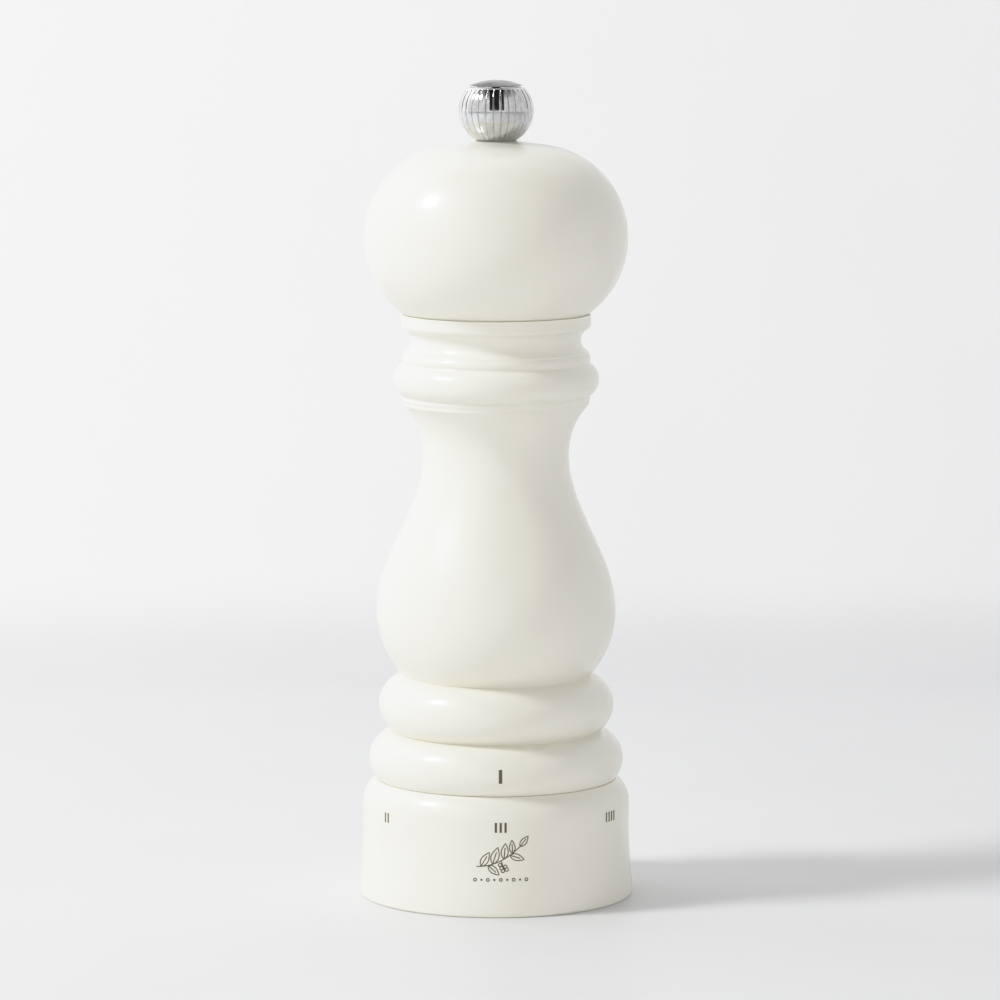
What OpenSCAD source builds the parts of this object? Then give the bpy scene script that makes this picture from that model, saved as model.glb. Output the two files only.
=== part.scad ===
// Turned wooden pepper mill with a grind selector ring at its foot.
// The head turns the drive shaft and lifts off for filling.  The base ring
// turns to one of six settings and screws the stator up or down.
// Millimetres, +Z up, origin on the table at the centre of the base.

/* [Base ring] */
// Height of the base ring, from the table to the seam under the body
base_h = 26; // [22:0.5:32]
// Radius of the foot, where the base ring meets the table
foot_r = 30.2; // [29:0.1:36]
// Radius of the straight side of the base ring
base_r = 29.5; // [28.5:0.1:36]
// Height of the flare between the side and the foot
foot_flare_h = 14; // [8:0.5:17]
// Radius of the rounded shoulder at the top of the base ring
shoulder_round = 6.4; // [4:0.2:8]
// How far the shoulder narrows before it meets the seam
shoulder_drop = 2.7; // [1:0.1:3]
// Gap left at the seams, so that the wooden parts turn freely
seam_gap = 0.3; // [0.2:0.05:0.6]

/* [Body] */
// Height of the body, from seam to seam
body_h = 102.8; // [85:0.2:125]
// Largest radius of the lower bead, just above the base ring
lower_bead_r = 28.1; // [26:0.1:32]
// Radius of the round of the lower bead
lower_bead_round = 6.4; // [5.3:0.1:7.7]
// Height of the lower bead's middle above the seam
lower_bead_z = 4.3; // [3:0.1:5.2]
// Largest radius of the upper bead
upper_bead_r = 25.95; // [24:0.05:31]
// Radius of the round of the upper bead
upper_bead_round = 6.8; // [5.6:0.1:8.2]
// Height of the upper bead's middle above the seam
upper_bead_z = 16.3; // [14:0.1:18]
// Largest radius of the belly
belly_r = 26.4; // [23:0.1:32]
// Height of the belly's widest point above the seam
belly_z = 37.2; // [34:0.1:44]
// Radius of the round of the belly, below its widest point
belly_round = 21; // [17.5:0.5:25.5]
// Smallest radius of the neck
neck_r = 16.1; // [14:0.1:19.4]
// Distance of the narrowest point of the neck below the top seam
neck_drop = 30.9; // [26:0.1:36]
// Radius of the hollow between the neck and the beads above it
neck_hollow = 16; // [13.5:0.1:19]
// Radius of the collar under the head
collar_r = 20.9; // [18:0.1:25]
// Height of the straight part of the collar
collar_h = 3.1; // [2.5:0.1:3.8]
// Radius of the collar's rounded lower edge
collar_round = 0.9; // [0.5:0.1:1.2]
// Radius of the cove under the collar
cove_round = 2.8; // [2.2:0.1:3.4]
// Depth of the cove
cove_depth = 2.2; // [1.5:0.1:2.7]
// Largest radius of the neck bead
neck_bead_r = 22.7; // [19:0.1:27]
// Radius of the round of the neck bead
neck_bead_round = 4; // [3.4:0.1:4.8]
// Radius of the pepper chamber
chamber_r = 11.5; // [9.6:0.1:13.8]

/* [Head] */
// Height of the head, from the seam to the seat of the knob
head_h = 37.9; // [31:0.1:45]
// Largest radius of the head
head_r = 29; // [25:0.1:35]
// Radius of the head's lower edge, where it meets the collar
head_foot_r = 20.5; // [18:0.1:24.5]
// Slope of the head's crown, from its round up to the knob's seat
crown_slope = 8; // [4:0.5:10]
// Length of the spigot that centres the head in the body
spigot_l = 9.8; // [6:0.1:12]

/* [Knob] */
// Height of the knob, from its seat to the top of its cap
knob_h = 13.3; // [12:0.1:16]
// Largest radius of the knob
knob_r = 8.3; // [7:0.1:10]
// Radius of the knob's flat underside
knob_foot_r = 4.3; // [3.9:0.1:5.1]
// Radius of the polished cap
cap_r = 6.1; // [5:0.1:6.6]
// Rise of the polished cap's dome
cap_rise = 1.3; // [0.8:0.1:1.8]
// Number of flutes around the knob
flutes = 30; // [20:1:36]
// Depth of the grooves between the flutes
flute_depth = 0.35; // [0.2:0.05:0.5]
// Thread diameter of the stud that the knob screws on to
stud_d = 6; // [5:0.5:6]
// Length of the stud above its seat in the head
stud_l = 8.2; // [6:0.1:9]

/* [Drive] */
// Width across the flats of the square drive shaft
shaft_af = 6; // [5:0.1:7.2]
// Diameter of the shaft's round journal
journal_d = 6; // [5:0.1:6.4]
// Width across the flats of the square that carries the rotor
rotor_square = 4.2; // [3.5:0.1:4.4]
// Length of the shaft that stands above the drive plate
shaft_top = 15; // [10:0.5:18]
// Thickness of the steel drive plate under the head
plate_t = 1.5; // [1:0.1:2]

/* [Grinder] */
// Height of the rotor
rotor_h = 18; // [15:0.5:21]
// Radius of the rotor at its bottom edge
rotor_r = 11.1; // [9.3:0.1:12]
// Radius of the rotor's top
rotor_top_r = 6.2; // [5.6:0.1:7.4]
// Height of the finely toothed cone
grind_h = 7.5; // [6.3:0.1:9]
// How much the toothed cone narrows over its height
grind_taper = 2; // [1.7:0.1:2.4]
// Gap between rotor and stator at the middle setting
grind_gap = 0.5; // [0.45:0.05:0.7]
// Number of fine teeth on the rotor
rotor_teeth = 30; // [24:1:36]
// Number of fine teeth in the stator
stator_teeth = 36; // [28:1:40]
// Depth of the fine teeth
tooth_depth = 0.6; // [0.4:0.05:0.8]
// Outer radius of the stator
stator_r = 13.6; // [13.2:0.1:14.2]
// Height of the stator
stator_h = 12.5; // [10.5:0.1:13.2]
// Height of the grinder's lower face above the table
grinder_z = 7; // [6.2:0.1:7.2]
// Height by which the stator moves for one turn of the base ring
select_pitch = 2; // [1:0.1:2.2]

/* [Mechanism] */
// Outer radius of the housing's sleeve
sleeve_r = 18.5; // [18.2:0.1:19]
// Wall of the housing's sleeve
sleeve_wall = 2.95; // [2.6:0.05:3.2]
// Height of the housing's sleeve above the seam
sleeve_up = 18.3; // [15.5:0.1:19]
// Length of the housing's sleeve below the seam
sleeve_down = 13.4; // [12:0.1:13.4]
// Radius of the flange that is screwed into the body
flange_r = 22.6; // [22.3:0.1:22.9]
// Thickness of that flange
flange_t = 3; // [2.6:0.1:3.6]
// Thickness of the bridge over the mechanism
bridge_t = 1.5; // [1:0.1:1.9]
// Width of the bridge's three arms
arm_w = 4; // [3:0.1:5]
// Outer radius of the bearing bush
bush_r = 4.2; // [4:0.1:4.6]
// Radius of the thread between carrier and adjuster
thread_r = 20.5; // [20.3:0.1:20.8]
// Outer radius of the adjuster's tube
adjuster_r = 22.4; // [22.1:0.1:22.7]
// Radius of the adjuster's flange
adjuster_flange_r = 26; // [25.6:0.1:26.6]
// Height of the recess under the mill
recess_h = 2; // [1.5:0.1:2.4]
// Number of grind settings around the base ring
settings = 6; // [4:1:6]
// Angle from one grind setting to the next
setting_step = 56; // [45:1:60]
// The setting that faces the front at rest
rest_setting = 3; // [1:1:4]

/* [Fits] */
// Radial clearance of running and sliding fits
run_fit = 0.05; // [0.03:0.01:0.1]
// Radial clearance of the head's spigot in the chamber
spigot_fit = 0.1; // [0.08:0.01:0.15]
// Clearance on each flat of the drive square
square_fit = 0.1; // [0.05:0.01:0.15]

/* [Hidden] */
$fn = 96;

eps = 0.02;
far = 80;
screw_angles = [30, 150, 270];

// Heights of the seams, faces and seats
base_top = base_h - seam_gap / 2;
body_bottom = base_h + seam_gap / 2;
body_top = base_h + body_h - seam_gap / 2;
head_bottom = base_h + body_h + seam_gap / 2;
knob_seat = base_h + body_h + head_h;
mill_top = knob_seat + knob_h;

// Body outline
lower_bead_mid = base_h + lower_bead_z;
upper_bead_mid = base_h + upper_bead_z;
belly_mid = base_h + belly_z;
belly_start = 62;
neck_mid = base_h + body_h - neck_drop;
cove_mid = body_top - collar_h - cove_round + 0.35;
core_r = lower_bead_r - 5.2;
groove_r = min(upper_bead_r, belly_r) - 5.6;
fillet_round = 1.5;
fillet_r = collar_r - 0.1;
fillet_mid = cove_mid - cove_round - fillet_round + 0.2;
neck_bead_mid = fillet_mid - neck_bead_round - 0.6;
step_round = 1;
step_mid = neck_bead_mid - neck_bead_round - 0.1;
shelf_r = fillet_r - 0.3;
hollow_angle = acos(1 - (shelf_r - neck_r) / neck_hollow);
shelf_z = max(step_mid, neck_mid + neck_hollow * sin(hollow_angle));

// Head outline: one round from the head's lower edge, over its largest radius, to
// where it is as flat as the crown, which rises straight to the knob's seat
head_in = head_r - head_foot_r;
head_up = knob_seat - head_bottom - (head_r - knob_foot_r) * tan(crown_slope);
head_share = 1 / cos(crown_slope) - tan(crown_slope);
head_round = (head_up * head_share + head_in
    - sqrt(head_in * (2 * head_up * head_share + head_in * (1 - pow(head_share, 2)))))
    / pow(head_share, 2);
head_mid = head_bottom + sqrt(head_in * (2 * head_round - head_in));
head_round_x = head_r - head_round;
crown_r = head_round_x + head_round * sin(crown_slope);
crown_z = head_mid + head_round * cos(crown_slope);

// Housing and what sits in it
sleeve_bottom = base_h - sleeve_down;
sleeve_top = base_h + sleeve_up;
sleeve_in = sleeve_r - sleeve_wall;
bridge_top = sleeve_top + bridge_t;
screw_head_h = 1;
mechanism_top = bridge_top + screw_head_h + 0.6;
funnel_h = 6.6;
flange_hole_r = (sleeve_r + flange_r) / 2 - 0.05;
ring_groove_z = sleeve_bottom + 1.2;
ring_t = 1;
ring_in = sleeve_r - 0.9;
ring_out = sleeve_r + 1.5;
key_r = sleeve_in + 1.05;
key_w = 3;

// Drive
bush_flange_t = 1;
bush_l = 6.8;
bush_bottom = bridge_top - bush_l;
washer_z = bridge_top + bush_flange_t;
washer_t = 0.8;
shoulder_z = washer_z + washer_t;
plate_z = head_bottom - spigot_l - plate_t;
shaft_end = plate_z + plate_t + shaft_top;
bore_in_head = shaft_af * 0.71 + 0.5;
spigot_r = chamber_r - spigot_fit;
plate_r = spigot_r - 0.5;
plate_screw_r = (plate_r + shaft_af * 0.71) / 2 + 0.2;
rotor_top = grinder_z + rotor_h;
wire_r = 0.45;
coil_r = journal_d / 2 + wire_r + 0.6;
coil_turns = 5;

// Stator, carrier and adjuster
stator_in = rotor_r + grind_gap;
carrier_r = sleeve_in - run_fit;
carrier_flange_h = sleeve_bottom - grinder_z - select_pitch / 2 - 0.2;
carrier_top = grinder_z + stator_h + 3.2;
adjuster_shoulder = ring_groove_z + ring_t + 0.1;
adjuster_flange_t = 2.5;
adjuster_screw_r = (adjuster_r + adjuster_flange_r) / 2;
notch_r = 1;
leaf_in = sleeve_r + 0.9;
leaf_out = flange_r - 1.2;
leaf_z = body_bottom + 1.35;
leaf_t = 0.3;

// Knob
knob_mid = knob_seat + knob_h / 2;
knob_low_h = knob_mid - knob_seat;
knob_low_round = (pow(knob_low_h, 2) + pow(knob_r - knob_foot_r, 2))
    / (2 * (knob_r - knob_foot_r));
cap_seat = mill_top - cap_rise;
knob_high_h = cap_seat - knob_mid;
knob_high_round = (pow(knob_high_h, 2) + pow(knob_r - cap_r, 2))
    / (2 * (knob_r - cap_r));
cap_round = (pow(cap_r, 2) + pow(cap_rise, 2)) / (2 * cap_rise);
cap_peg_r = 3.2;
cap_peg_h = 1.6;

// Points along an arc, from angle a0 to angle a1 in n steps
function arc(centre, r, a0, a1, n = 10) =
    [for (i = [0:n]) let (a = a0 + (a1 - a0) * i / n)
        [centre[0] + r * cos(a), centre[1] + r * sin(a)]];

// Points along a smooth half wave, from [r0, z0] to [r1, z1] in n steps
function sweep(r0, z0, r1, z1, n = 14) =
    [for (i = [1:n]) let (u = i / n)
        [r1 + (r0 - r1) * (1 + cos(180 * u)) / 2, z0 + (z1 - z0) * u]];

// Half of a disc, above or below its middle
module half_disc(r, up) {
    intersection() {
        circle(r = r);
        translate([-far, up ? 0 : -far]) square([2 * far, far]);
    }
}

// Copies of the children around the axis, at the given angles
module around(angles) {
    for (a = angles) rotate([0, 0, a]) children();
}

// Countersunk screw with its head's flat face down at z = 0
module sunk_screw(head_r, shank_r, length) {
    difference() {
        union() {
            cylinder(r1 = head_r, r2 = shank_r, h = head_r - shank_r);
            cylinder(r = shank_r, h = length - shank_r);
            translate([0, 0, length - shank_r])
                cylinder(r1 = shank_r, r2 = 0.15, h = shank_r);
        }
        translate([0, 0, -eps]) {
            translate([-head_r * 0.6, -0.2]) cube([head_r * 1.2, 0.4, 0.5]);
            translate([-0.2, -head_r * 0.6]) cube([0.4, head_r * 1.2, 0.5]);
        }
    }
}

// The room that a countersunk screw takes
module sunk_hole(head_r, shank_r, length) {
    translate([0, 0, -eps])
        cylinder(r = head_r + eps, h = 2 * eps);
    cylinder(r1 = head_r, r2 = shank_r, h = head_r - shank_r);
    cylinder(r = shank_r, h = length);
}

// Screw with a flat round head whose underside is at z = 0, shank below it
module flat_screw(head_r, head_h, shank_r, length) {
    difference() {
        union() {
            cylinder(r = head_r, h = head_h);
            translate([0, 0, -length]) cylinder(r = shank_r, h = length + eps);
        }
        translate([0, 0, head_h - 0.5]) {
            translate([-head_r * 0.6, -0.2]) cube([head_r * 1.2, 0.4, 1]);
            translate([-0.2, -head_r * 0.6]) cube([0.4, head_r * 1.2, 1]);
        }
    }
}

// ---- Wooden parts ----

module body_outline() {
    intersection() {
        translate([lower_bead_r - lower_bead_round, lower_bead_mid])
            circle(r = lower_bead_round);
        translate([0, body_bottom]) square([far, body_h]);
    }
    translate([upper_bead_r - upper_bead_round, upper_bead_mid])
        circle(r = upper_bead_round);
    translate([0, body_bottom]) square([core_r, upper_bead_z]);
    translate([0, upper_bead_mid - 1]) square([groove_r, belly_z - upper_bead_z - 9]);
    polygon(concat(
        [[0, belly_mid - belly_round * sin(belly_start)]],
        arc([belly_r - belly_round, belly_mid], belly_round, -belly_start, 0, 12),
        sweep(belly_r, belly_mid, neck_r, neck_mid),
        arc([neck_r + neck_hollow, neck_mid], neck_hollow, 180 - 2, 180 - hollow_angle, 8),
        [[shelf_r, shelf_z], [0, shelf_z]]));
    translate([0, step_mid - 1]) square([shelf_r, fillet_mid - step_mid + 2]);
    translate([fillet_r - step_round, step_mid]) circle(r = step_round);
    translate([neck_bead_r - neck_bead_round, neck_bead_mid])
        circle(r = neck_bead_round);
    translate([fillet_r - fillet_round, fillet_mid]) circle(r = fillet_round);
    difference() {
        translate([0, fillet_mid]) square([fillet_r - 0.6, body_top - fillet_mid - 1]);
        translate([collar_r - cove_depth + cove_round, cove_mid])
            circle(r = cove_round);
    }
    polygon(concat(
        [[0, body_top - collar_h]],
        arc([collar_r - collar_round, body_top - collar_h + collar_round],
            collar_round, -90, 0, 6),
        [[collar_r, body_top], [0, body_top]]));
}

module body() {
    color("ivory") difference() {
        rotate_extrude() difference() {
            body_outline();
            square([chamber_r, 2 * far + far]);
            translate([0, body_bottom - 1])
                square([sleeve_r + run_fit, mechanism_top - body_bottom + 1]);
            translate([0, body_bottom - 1])
                square([flange_r + run_fit, flange_t + 1]);
            polygon([
                [0, mechanism_top - eps], [sleeve_in, mechanism_top - eps],
                [chamber_r - eps, mechanism_top + funnel_h],
                [0, mechanism_top + funnel_h]
            ]);
        }
        around(screw_angles) translate([flange_hole_r, 0, body_bottom])
            cylinder(r = 1.1, h = 11);
    }
}

module head() {
    color("ivory") difference() {
        rotate_extrude() difference() {
            union() {
                intersection() {
                    translate([head_round_x, head_mid + 0.03]) circle(r = head_round);
                    translate([0, head_bottom]) square([far, far]);
                }
                polygon([
                    [0, head_bottom], [crown_r, head_bottom], [crown_r, crown_z],
                    [knob_foot_r, knob_seat], [0, knob_seat]
                ]);
                translate([0, head_bottom - spigot_l])
                    square([spigot_r, spigot_l + 1]);
            }
            square([bore_in_head, shaft_end + 2]);
            translate([0, knob_seat - 18]) square([stud_d / 2, far]);
        }
        around(screw_angles)
            translate([plate_screw_r, 0, head_bottom - spigot_l - eps])
                cylinder(r = 0.9, h = 7);
    }
}

module base_outline() {
    polygon(concat(
        [[0, 0], [foot_r - 0.4, 0], [foot_r, 0.4]],
        sweep(foot_r, 0.4, base_r, foot_flare_h, 6),
        arc([base_r - shoulder_round,
             base_top - sqrt(pow(shoulder_round, 2) - pow(shoulder_round - shoulder_drop, 2))],
            shoulder_round, 0, acos(1 - shoulder_drop / shoulder_round), 8),
        [[0, base_top]]));
}

module base_ring() {
    color("ivory") difference() {
        rotate_extrude() difference() {
            base_outline();
            translate([0, -1]) square([adjuster_r + run_fit, base_h + 2]);
            translate([0, -1])
                square([adjuster_flange_r + run_fit, recess_h + adjuster_flange_t + 1]);
        }
        around(screw_angles)
            translate([adjuster_screw_r, 0, recess_h + adjuster_flange_t - eps])
                cylinder(r = 0.9, h = 7.5);
    }
}

// ---- Mechanism fixed to the body ----

module mechanism_housing() {
    color("dimgray") difference() {
        rotate_extrude() difference() {
            union() {
                translate([0, sleeve_bottom])
                    square([sleeve_r, sleeve_top - sleeve_bottom]);
                translate([0, body_bottom]) square([flange_r, flange_t]);
            }
            square([sleeve_in, far]);
            translate([ring_in, ring_groove_z]) square([far, ring_t + 0.1]);
        }
        // Slots that keep the carrier from turning
        around(screw_angles) translate([0, -key_w / 2 - run_fit, sleeve_bottom - 1])
            cube([key_r + run_fit, key_w + 2 * run_fit, carrier_top - sleeve_bottom + 3]);
        around(screw_angles) translate([flange_hole_r, 0, body_bottom])
            sunk_hole(1.7, 1.1, flange_t + 1);
        around(screw_angles) translate([(sleeve_in + sleeve_r) / 2, 0, sleeve_top - 6])
            cylinder(r = 0.7, h = 7);
        // Pocket for the click spring, and the hole for its rivet
        translate([0, 0, body_bottom - eps])
            rotate([0, 0, 54]) rotate_extrude(angle = 72)
                translate([leaf_in - 0.3, 0])
                    square([leaf_out - leaf_in + 0.6, leaf_z + leaf_t - body_bottom + eps]);
        rotate([0, 0, 62]) translate([(leaf_in + leaf_out) / 2, 0, leaf_z])
            cylinder(r = 0.6, h = far);
    }
}

module housing_screws() {
    color("silver") around(screw_angles)
        translate([flange_hole_r, 0, body_bottom]) sunk_screw(1.7, 1.1, 10);
}

module bridge() {
    color("silver") translate([0, 0, sleeve_top]) difference() {
        linear_extrude(bridge_t) difference() {
            union() {
                difference() {
                    circle(r = sleeve_r - 0.1);
                    circle(r = sleeve_in);
                }
                around(screw_angles) translate([0, -arm_w / 2])
                    square([sleeve_in + 1, arm_w]);
                circle(r = bush_r + 2);
            }
            circle(r = bush_r);
        }
        around(screw_angles) translate([(sleeve_in + sleeve_r) / 2, 0, -1])
            cylinder(r = 0.75, h = 4);
    }
}

module bridge_screws() {
    color("silver") around(screw_angles)
        translate([(sleeve_in + sleeve_r) / 2, 0, bridge_top])
            flat_screw(1.3, screw_head_h, 0.7, 6);
}

module bridge_bush() {
    color("goldenrod") rotate_extrude() difference() {
        union() {
            translate([0, bush_bottom]) square([bush_r, bush_l + 0.5]);
            translate([0, bridge_top]) square([bush_r + 1.4, bush_flange_t]);
        }
        square([journal_d / 2 + run_fit, far]);
    }
}

module retaining_ring() {
    color("silver") difference() {
        translate([0, 0, ring_groove_z + 0.05]) difference() {
            cylinder(r = ring_out, h = ring_t);
            translate([0, 0, -1]) cylinder(r = ring_in + 0.05, h = ring_t + 2);
        }
        rotate([0, 0, 90]) translate([0, -2, 0]) cube([far, 4, far]);
    }
}

module click_spring() {
    color("lightsteelblue") difference() {
        union() {
            translate([0, 0, leaf_z]) rotate([0, 0, 57]) rotate_extrude(angle = 66)
                translate([leaf_in, 0]) square([leaf_out - leaf_in, leaf_t]);
            translate([0, 0, body_bottom])
                rotate([0, 0, 90]) rotate([0, 90, 0])
                    translate([0, 0, leaf_in + 0.2])
                        cylinder(r = notch_r - 0.1, h = leaf_out - leaf_in - 0.4);
            rotate([0, 0, 90])
                translate([leaf_in + 0.2, -0.4, body_bottom])
                    cube([leaf_out - leaf_in - 0.4, 0.8, leaf_z - body_bottom + 0.1]);
        }
        rotate([0, 0, 62]) translate([(leaf_in + leaf_out) / 2, 0, 0])
            cylinder(r = 0.6, h = far);
    }
}

module click_spring_rivet() {
    color("silver") rotate([0, 0, 62])
        translate([(leaf_in + leaf_out) / 2, 0, leaf_z]) {
            translate([0, 0, -0.5]) cylinder(r = 0.95, h = 0.5);
            cylinder(r = 0.6, h = body_bottom + flange_t - leaf_z);
        }
}

// ---- Parts that turn with the head ----

module drive_shaft() {
    tip = shaft_end - 1;
    color("silver") difference() {
        union() {
            translate([-shaft_af / 2, -shaft_af / 2, shoulder_z])
                cube([shaft_af, shaft_af, tip - shoulder_z]);
            translate([0, 0, tip]) intersection() {
                translate([-shaft_af / 2, -shaft_af / 2, 0])
                    cube([shaft_af, shaft_af, 1]);
                cylinder(r1 = shaft_af * 0.71, r2 = shaft_af * 0.71 - 1.4, h = 1);
            }
            translate([0, 0, rotor_top])
                cylinder(r = journal_d / 2, h = shoulder_z - rotor_top + eps);
            translate([-rotor_square / 2, -rotor_square / 2, grinder_z])
                cube([rotor_square, rotor_square, rotor_h + eps]);
        }
        translate([0, 0, grinder_z - 1]) cylinder(r = 1.25, h = 10);
    }
}

module thrust_washer() {
    color("silver") translate([0, 0, washer_z]) difference() {
        cylinder(r = journal_d / 2 + 2.4, h = washer_t);
        translate([0, 0, -1]) cylinder(r = journal_d / 2 + 0.1, h = washer_t + 2);
    }
}

// Compression spring swept along its helix, with a plain round section
module rotor_spring() {
    sides = 6;
    per_turn = 12;
    rings = coil_turns * per_turn;
    low = rotor_top + wire_r + 0.02;
    high = bush_bottom - wire_r - 0.02;
    points = [for (i = [0:rings]) let (a = 360 * i / per_turn, z = low + (high - low) * i / rings)
        for (j = [0:sides - 1]) let (b = 360 * j / sides, r = coil_r + wire_r * cos(b))
            [r * cos(a), r * sin(a), z + wire_r * sin(b)]];
    walls = [for (i = [0:rings - 1]) for (j = [0:sides - 1])
        let (p = i * sides + j, q = i * sides + (j + 1) % sides)
            [p, q, q + sides, p + sides]];
    ends = [[for (j = [0:sides - 1]) sides - 1 - j],
            [for (j = [0:sides - 1]) rings * sides + j]];
    color("silver") polyhedron(points, concat(walls, ends));
}

module rotor() {
    neck = rotor_r - grind_taper;
    slope = atan(grind_taper / grind_h);
    color("gray") difference() {
        translate([0, 0, grinder_z]) {
            cylinder(r1 = rotor_r, r2 = neck, h = grind_h);
            translate([0, 0, grind_h - eps])
                cylinder(r1 = neck, r2 = rotor_top_r, h = rotor_h - grind_h + eps);
        }
        translate([-rotor_square / 2, -rotor_square / 2, 0])
            cube([rotor_square, rotor_square, far]);
        // Fine teeth on the lower cone
        for (i = [0:rotor_teeth - 1]) rotate([0, 0, i * 360 / rotor_teeth])
            translate([rotor_r, 0, grinder_z]) rotate([0, -slope, 0]) rotate([8, 0, 0])
                rotate([0, 0, 45]) translate([0, 0, -1])
                    cube([tooth_depth, tooth_depth, 2 * grind_h + 1.6], center = true);
        // Slanted feed flutes that draw the peppercorns down
        for (i = [0:4]) rotate([0, 0, i * 72])
            translate([neck + 0.4, 0, grinder_z + grind_h + 4]) rotate([32, -15, 0])
                cylinder(r = 2, h = 2 * rotor_h, center = true, $fn = 48);
    }
}

module rotor_washer() {
    color("silver") translate([0, 0, grinder_z - 0.8]) difference() {
        cylinder(r = 4.6, h = 0.8);
        translate([0, 0, -1]) cylinder(r = 1.6, h = 3);
    }
}

module rotor_screw() {
    color("silver") translate([0, 0, grinder_z - 0.8]) mirror([0, 0, 1])
        flat_screw(2.7, 1.6, 1.25, 8);
}

// ---- Head fittings ----

module drive_plate() {
    hole = shaft_af + 2 * square_fit;
    color("silver") translate([0, 0, plate_z]) difference() {
        cylinder(r = plate_r, h = plate_t);
        translate([-hole / 2, -hole / 2, -1]) cube([hole, hole, plate_t + 2]);
        around(screw_angles) translate([plate_screw_r, 0, -1])
            cylinder(r = 0.95, h = plate_t + 2);
    }
}

module drive_plate_screws() {
    color("silver") around(screw_angles)
        translate([plate_screw_r, 0, plate_z]) mirror([0, 0, 1])
            flat_screw(1.5, screw_head_h, 0.9, 7);
}

module head_stud() {
    color("silver") union() {
        translate([0, 0, knob_seat - 17]) cylinder(r = stud_d / 2, h = 17 + stud_l - 0.5);
        translate([0, 0, knob_seat + stud_l - 0.5])
            cylinder(r1 = stud_d / 2, r2 = stud_d / 2 - 0.5, h = 0.5);
    }
}

module knob_outline(shrink = 0) {
    intersection() {
        union() {
            translate([knob_r - knob_low_round, knob_mid])
                half_disc(knob_low_round - shrink, false);
            translate([knob_r - knob_high_round, knob_mid])
                half_disc(knob_high_round - shrink, true);
        }
        translate([0, knob_seat]) square([far, cap_seat - knob_seat - 0.1]);
    }
    translate([0, knob_mid - 1]) square([1, 2]);
}

module knob() {
    groove_a = 100 / flutes;
    color("gainsboro") difference() {
        rotate_extrude() difference() {
            union() {
                knob_outline();
                translate([0, knob_seat])
                    square([knob_foot_r - 0.1, cap_seat - knob_seat - 0.1]);
            }
            square([stud_d / 2 + run_fit, knob_seat + stud_l + 0.6]);
            translate([0, cap_seat - cap_peg_h - run_fit])
                square([cap_peg_r + run_fit, far]);
        }
        for (i = [0:flutes - 1]) rotate([0, 0, i * 360 / flutes])
            rotate_extrude(angle = groove_a) difference() {
                translate([2, knob_seat - 1]) square([far, cap_seat - knob_seat + 0.2]);
                knob_outline(flute_depth);
                square([knob_foot_r - flute_depth, far + 2 * far]);
            }
    }
}

module knob_cap() {
    color("whitesmoke") rotate_extrude() {
        intersection() {
            translate([0, mill_top - cap_round]) circle(r = cap_round, $fn = 180);
            translate([0, cap_seat + 0.05]) square([cap_r - 0.15, far]);
        }
        translate([0, cap_seat - cap_peg_h]) square([cap_peg_r, cap_peg_h + 0.2]);
    }
}

// ---- Grind selector ----

module stator() {
    slope = atan(grind_taper / grind_h);
    top_in = stator_r - 1.2;
    color("gray") difference() {
        rotate_extrude() polygon([
            [stator_in, grinder_z], [stator_r, grinder_z],
            [stator_r, grinder_z + stator_h], [top_in, grinder_z + stator_h],
            [stator_in - grind_taper, grinder_z + grind_h]
        ]);
        for (i = [0:stator_teeth - 1]) rotate([0, 0, i * 360 / stator_teeth])
            translate([stator_in, 0, grinder_z]) rotate([0, -slope, 0]) rotate([-8, 0, 0])
                rotate([0, 0, 45])
                    cube([tooth_depth, tooth_depth, 2 * grind_h - 1], center = true);
    }
}

module stator_carrier() {
    color("dimgray") union() {
        rotate_extrude() difference() {
            union() {
                translate([0, grinder_z]) square([carrier_r, carrier_top - grinder_z]);
                translate([0, grinder_z]) square([thread_r, carrier_flange_h]);
            }
            square([stator_r, grinder_z + stator_h]);
            square([stator_r - 1, far]);
        }
        around(screw_angles) translate([carrier_r - 0.5, -key_w / 2, sleeve_bottom + 1])
            cube([key_r - carrier_r + 0.5, key_w, carrier_top - sleeve_bottom - 1]);
    }
}

module adjuster_ring() {
    color("dimgray") difference() {
        rotate_extrude() difference() {
            union() {
                translate([0, recess_h]) square([adjuster_flange_r, adjuster_flange_t]);
                translate([0, recess_h]) square([adjuster_r, base_top - recess_h]);
            }
            square([thread_r + run_fit, adjuster_shoulder]);
            square([sleeve_r + run_fit, far]);
        }
        around(screw_angles) translate([adjuster_screw_r, 0, recess_h])
            sunk_hole(1.5, 0.9, adjuster_flange_t + 1);
        // One notch for each setting
        for (i = [1:settings]) rotate([0, 0, 90 + (i - rest_setting) * setting_step])
            translate([sleeve_r - 1, 0, body_bottom]) rotate([0, 90, 0])
                cylinder(r = notch_r, h = adjuster_r - sleeve_r + 2, $fn = 32);
    }
}

module adjuster_screws() {
    color("silver") around(screw_angles)
        translate([adjuster_screw_r, 0, recess_h]) sunk_screw(1.5, 0.9, 9);
}

body();
mechanism_housing();
housing_screws();
bridge();
bridge_screws();
bridge_bush();
retaining_ring();
click_spring();
click_spring_rivet();
drive_shaft();
thrust_washer();
rotor_spring();
rotor();
rotor_washer();
rotor_screw();
head();
drive_plate();
drive_plate_screws();
head_stud();
knob_cap();
knob();
stator();
stator_carrier();
base_ring();
adjuster_ring();
adjuster_screws();
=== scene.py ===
"""A turned pepper mill: lacquered wooden body, head and base ring, a fluted metal
knob, and the grinding mechanism inside.

Sizes are millimetres until a mesh is made.  Heights and outer radii come from
the frame.  Every finished piece lies in the frame's own place, in metres.
"""

from math import cos, pi, radians, sin, sqrt, tan

import bmesh
import bpy
import numpy as np
from mathutils import Matrix, Vector


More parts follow.
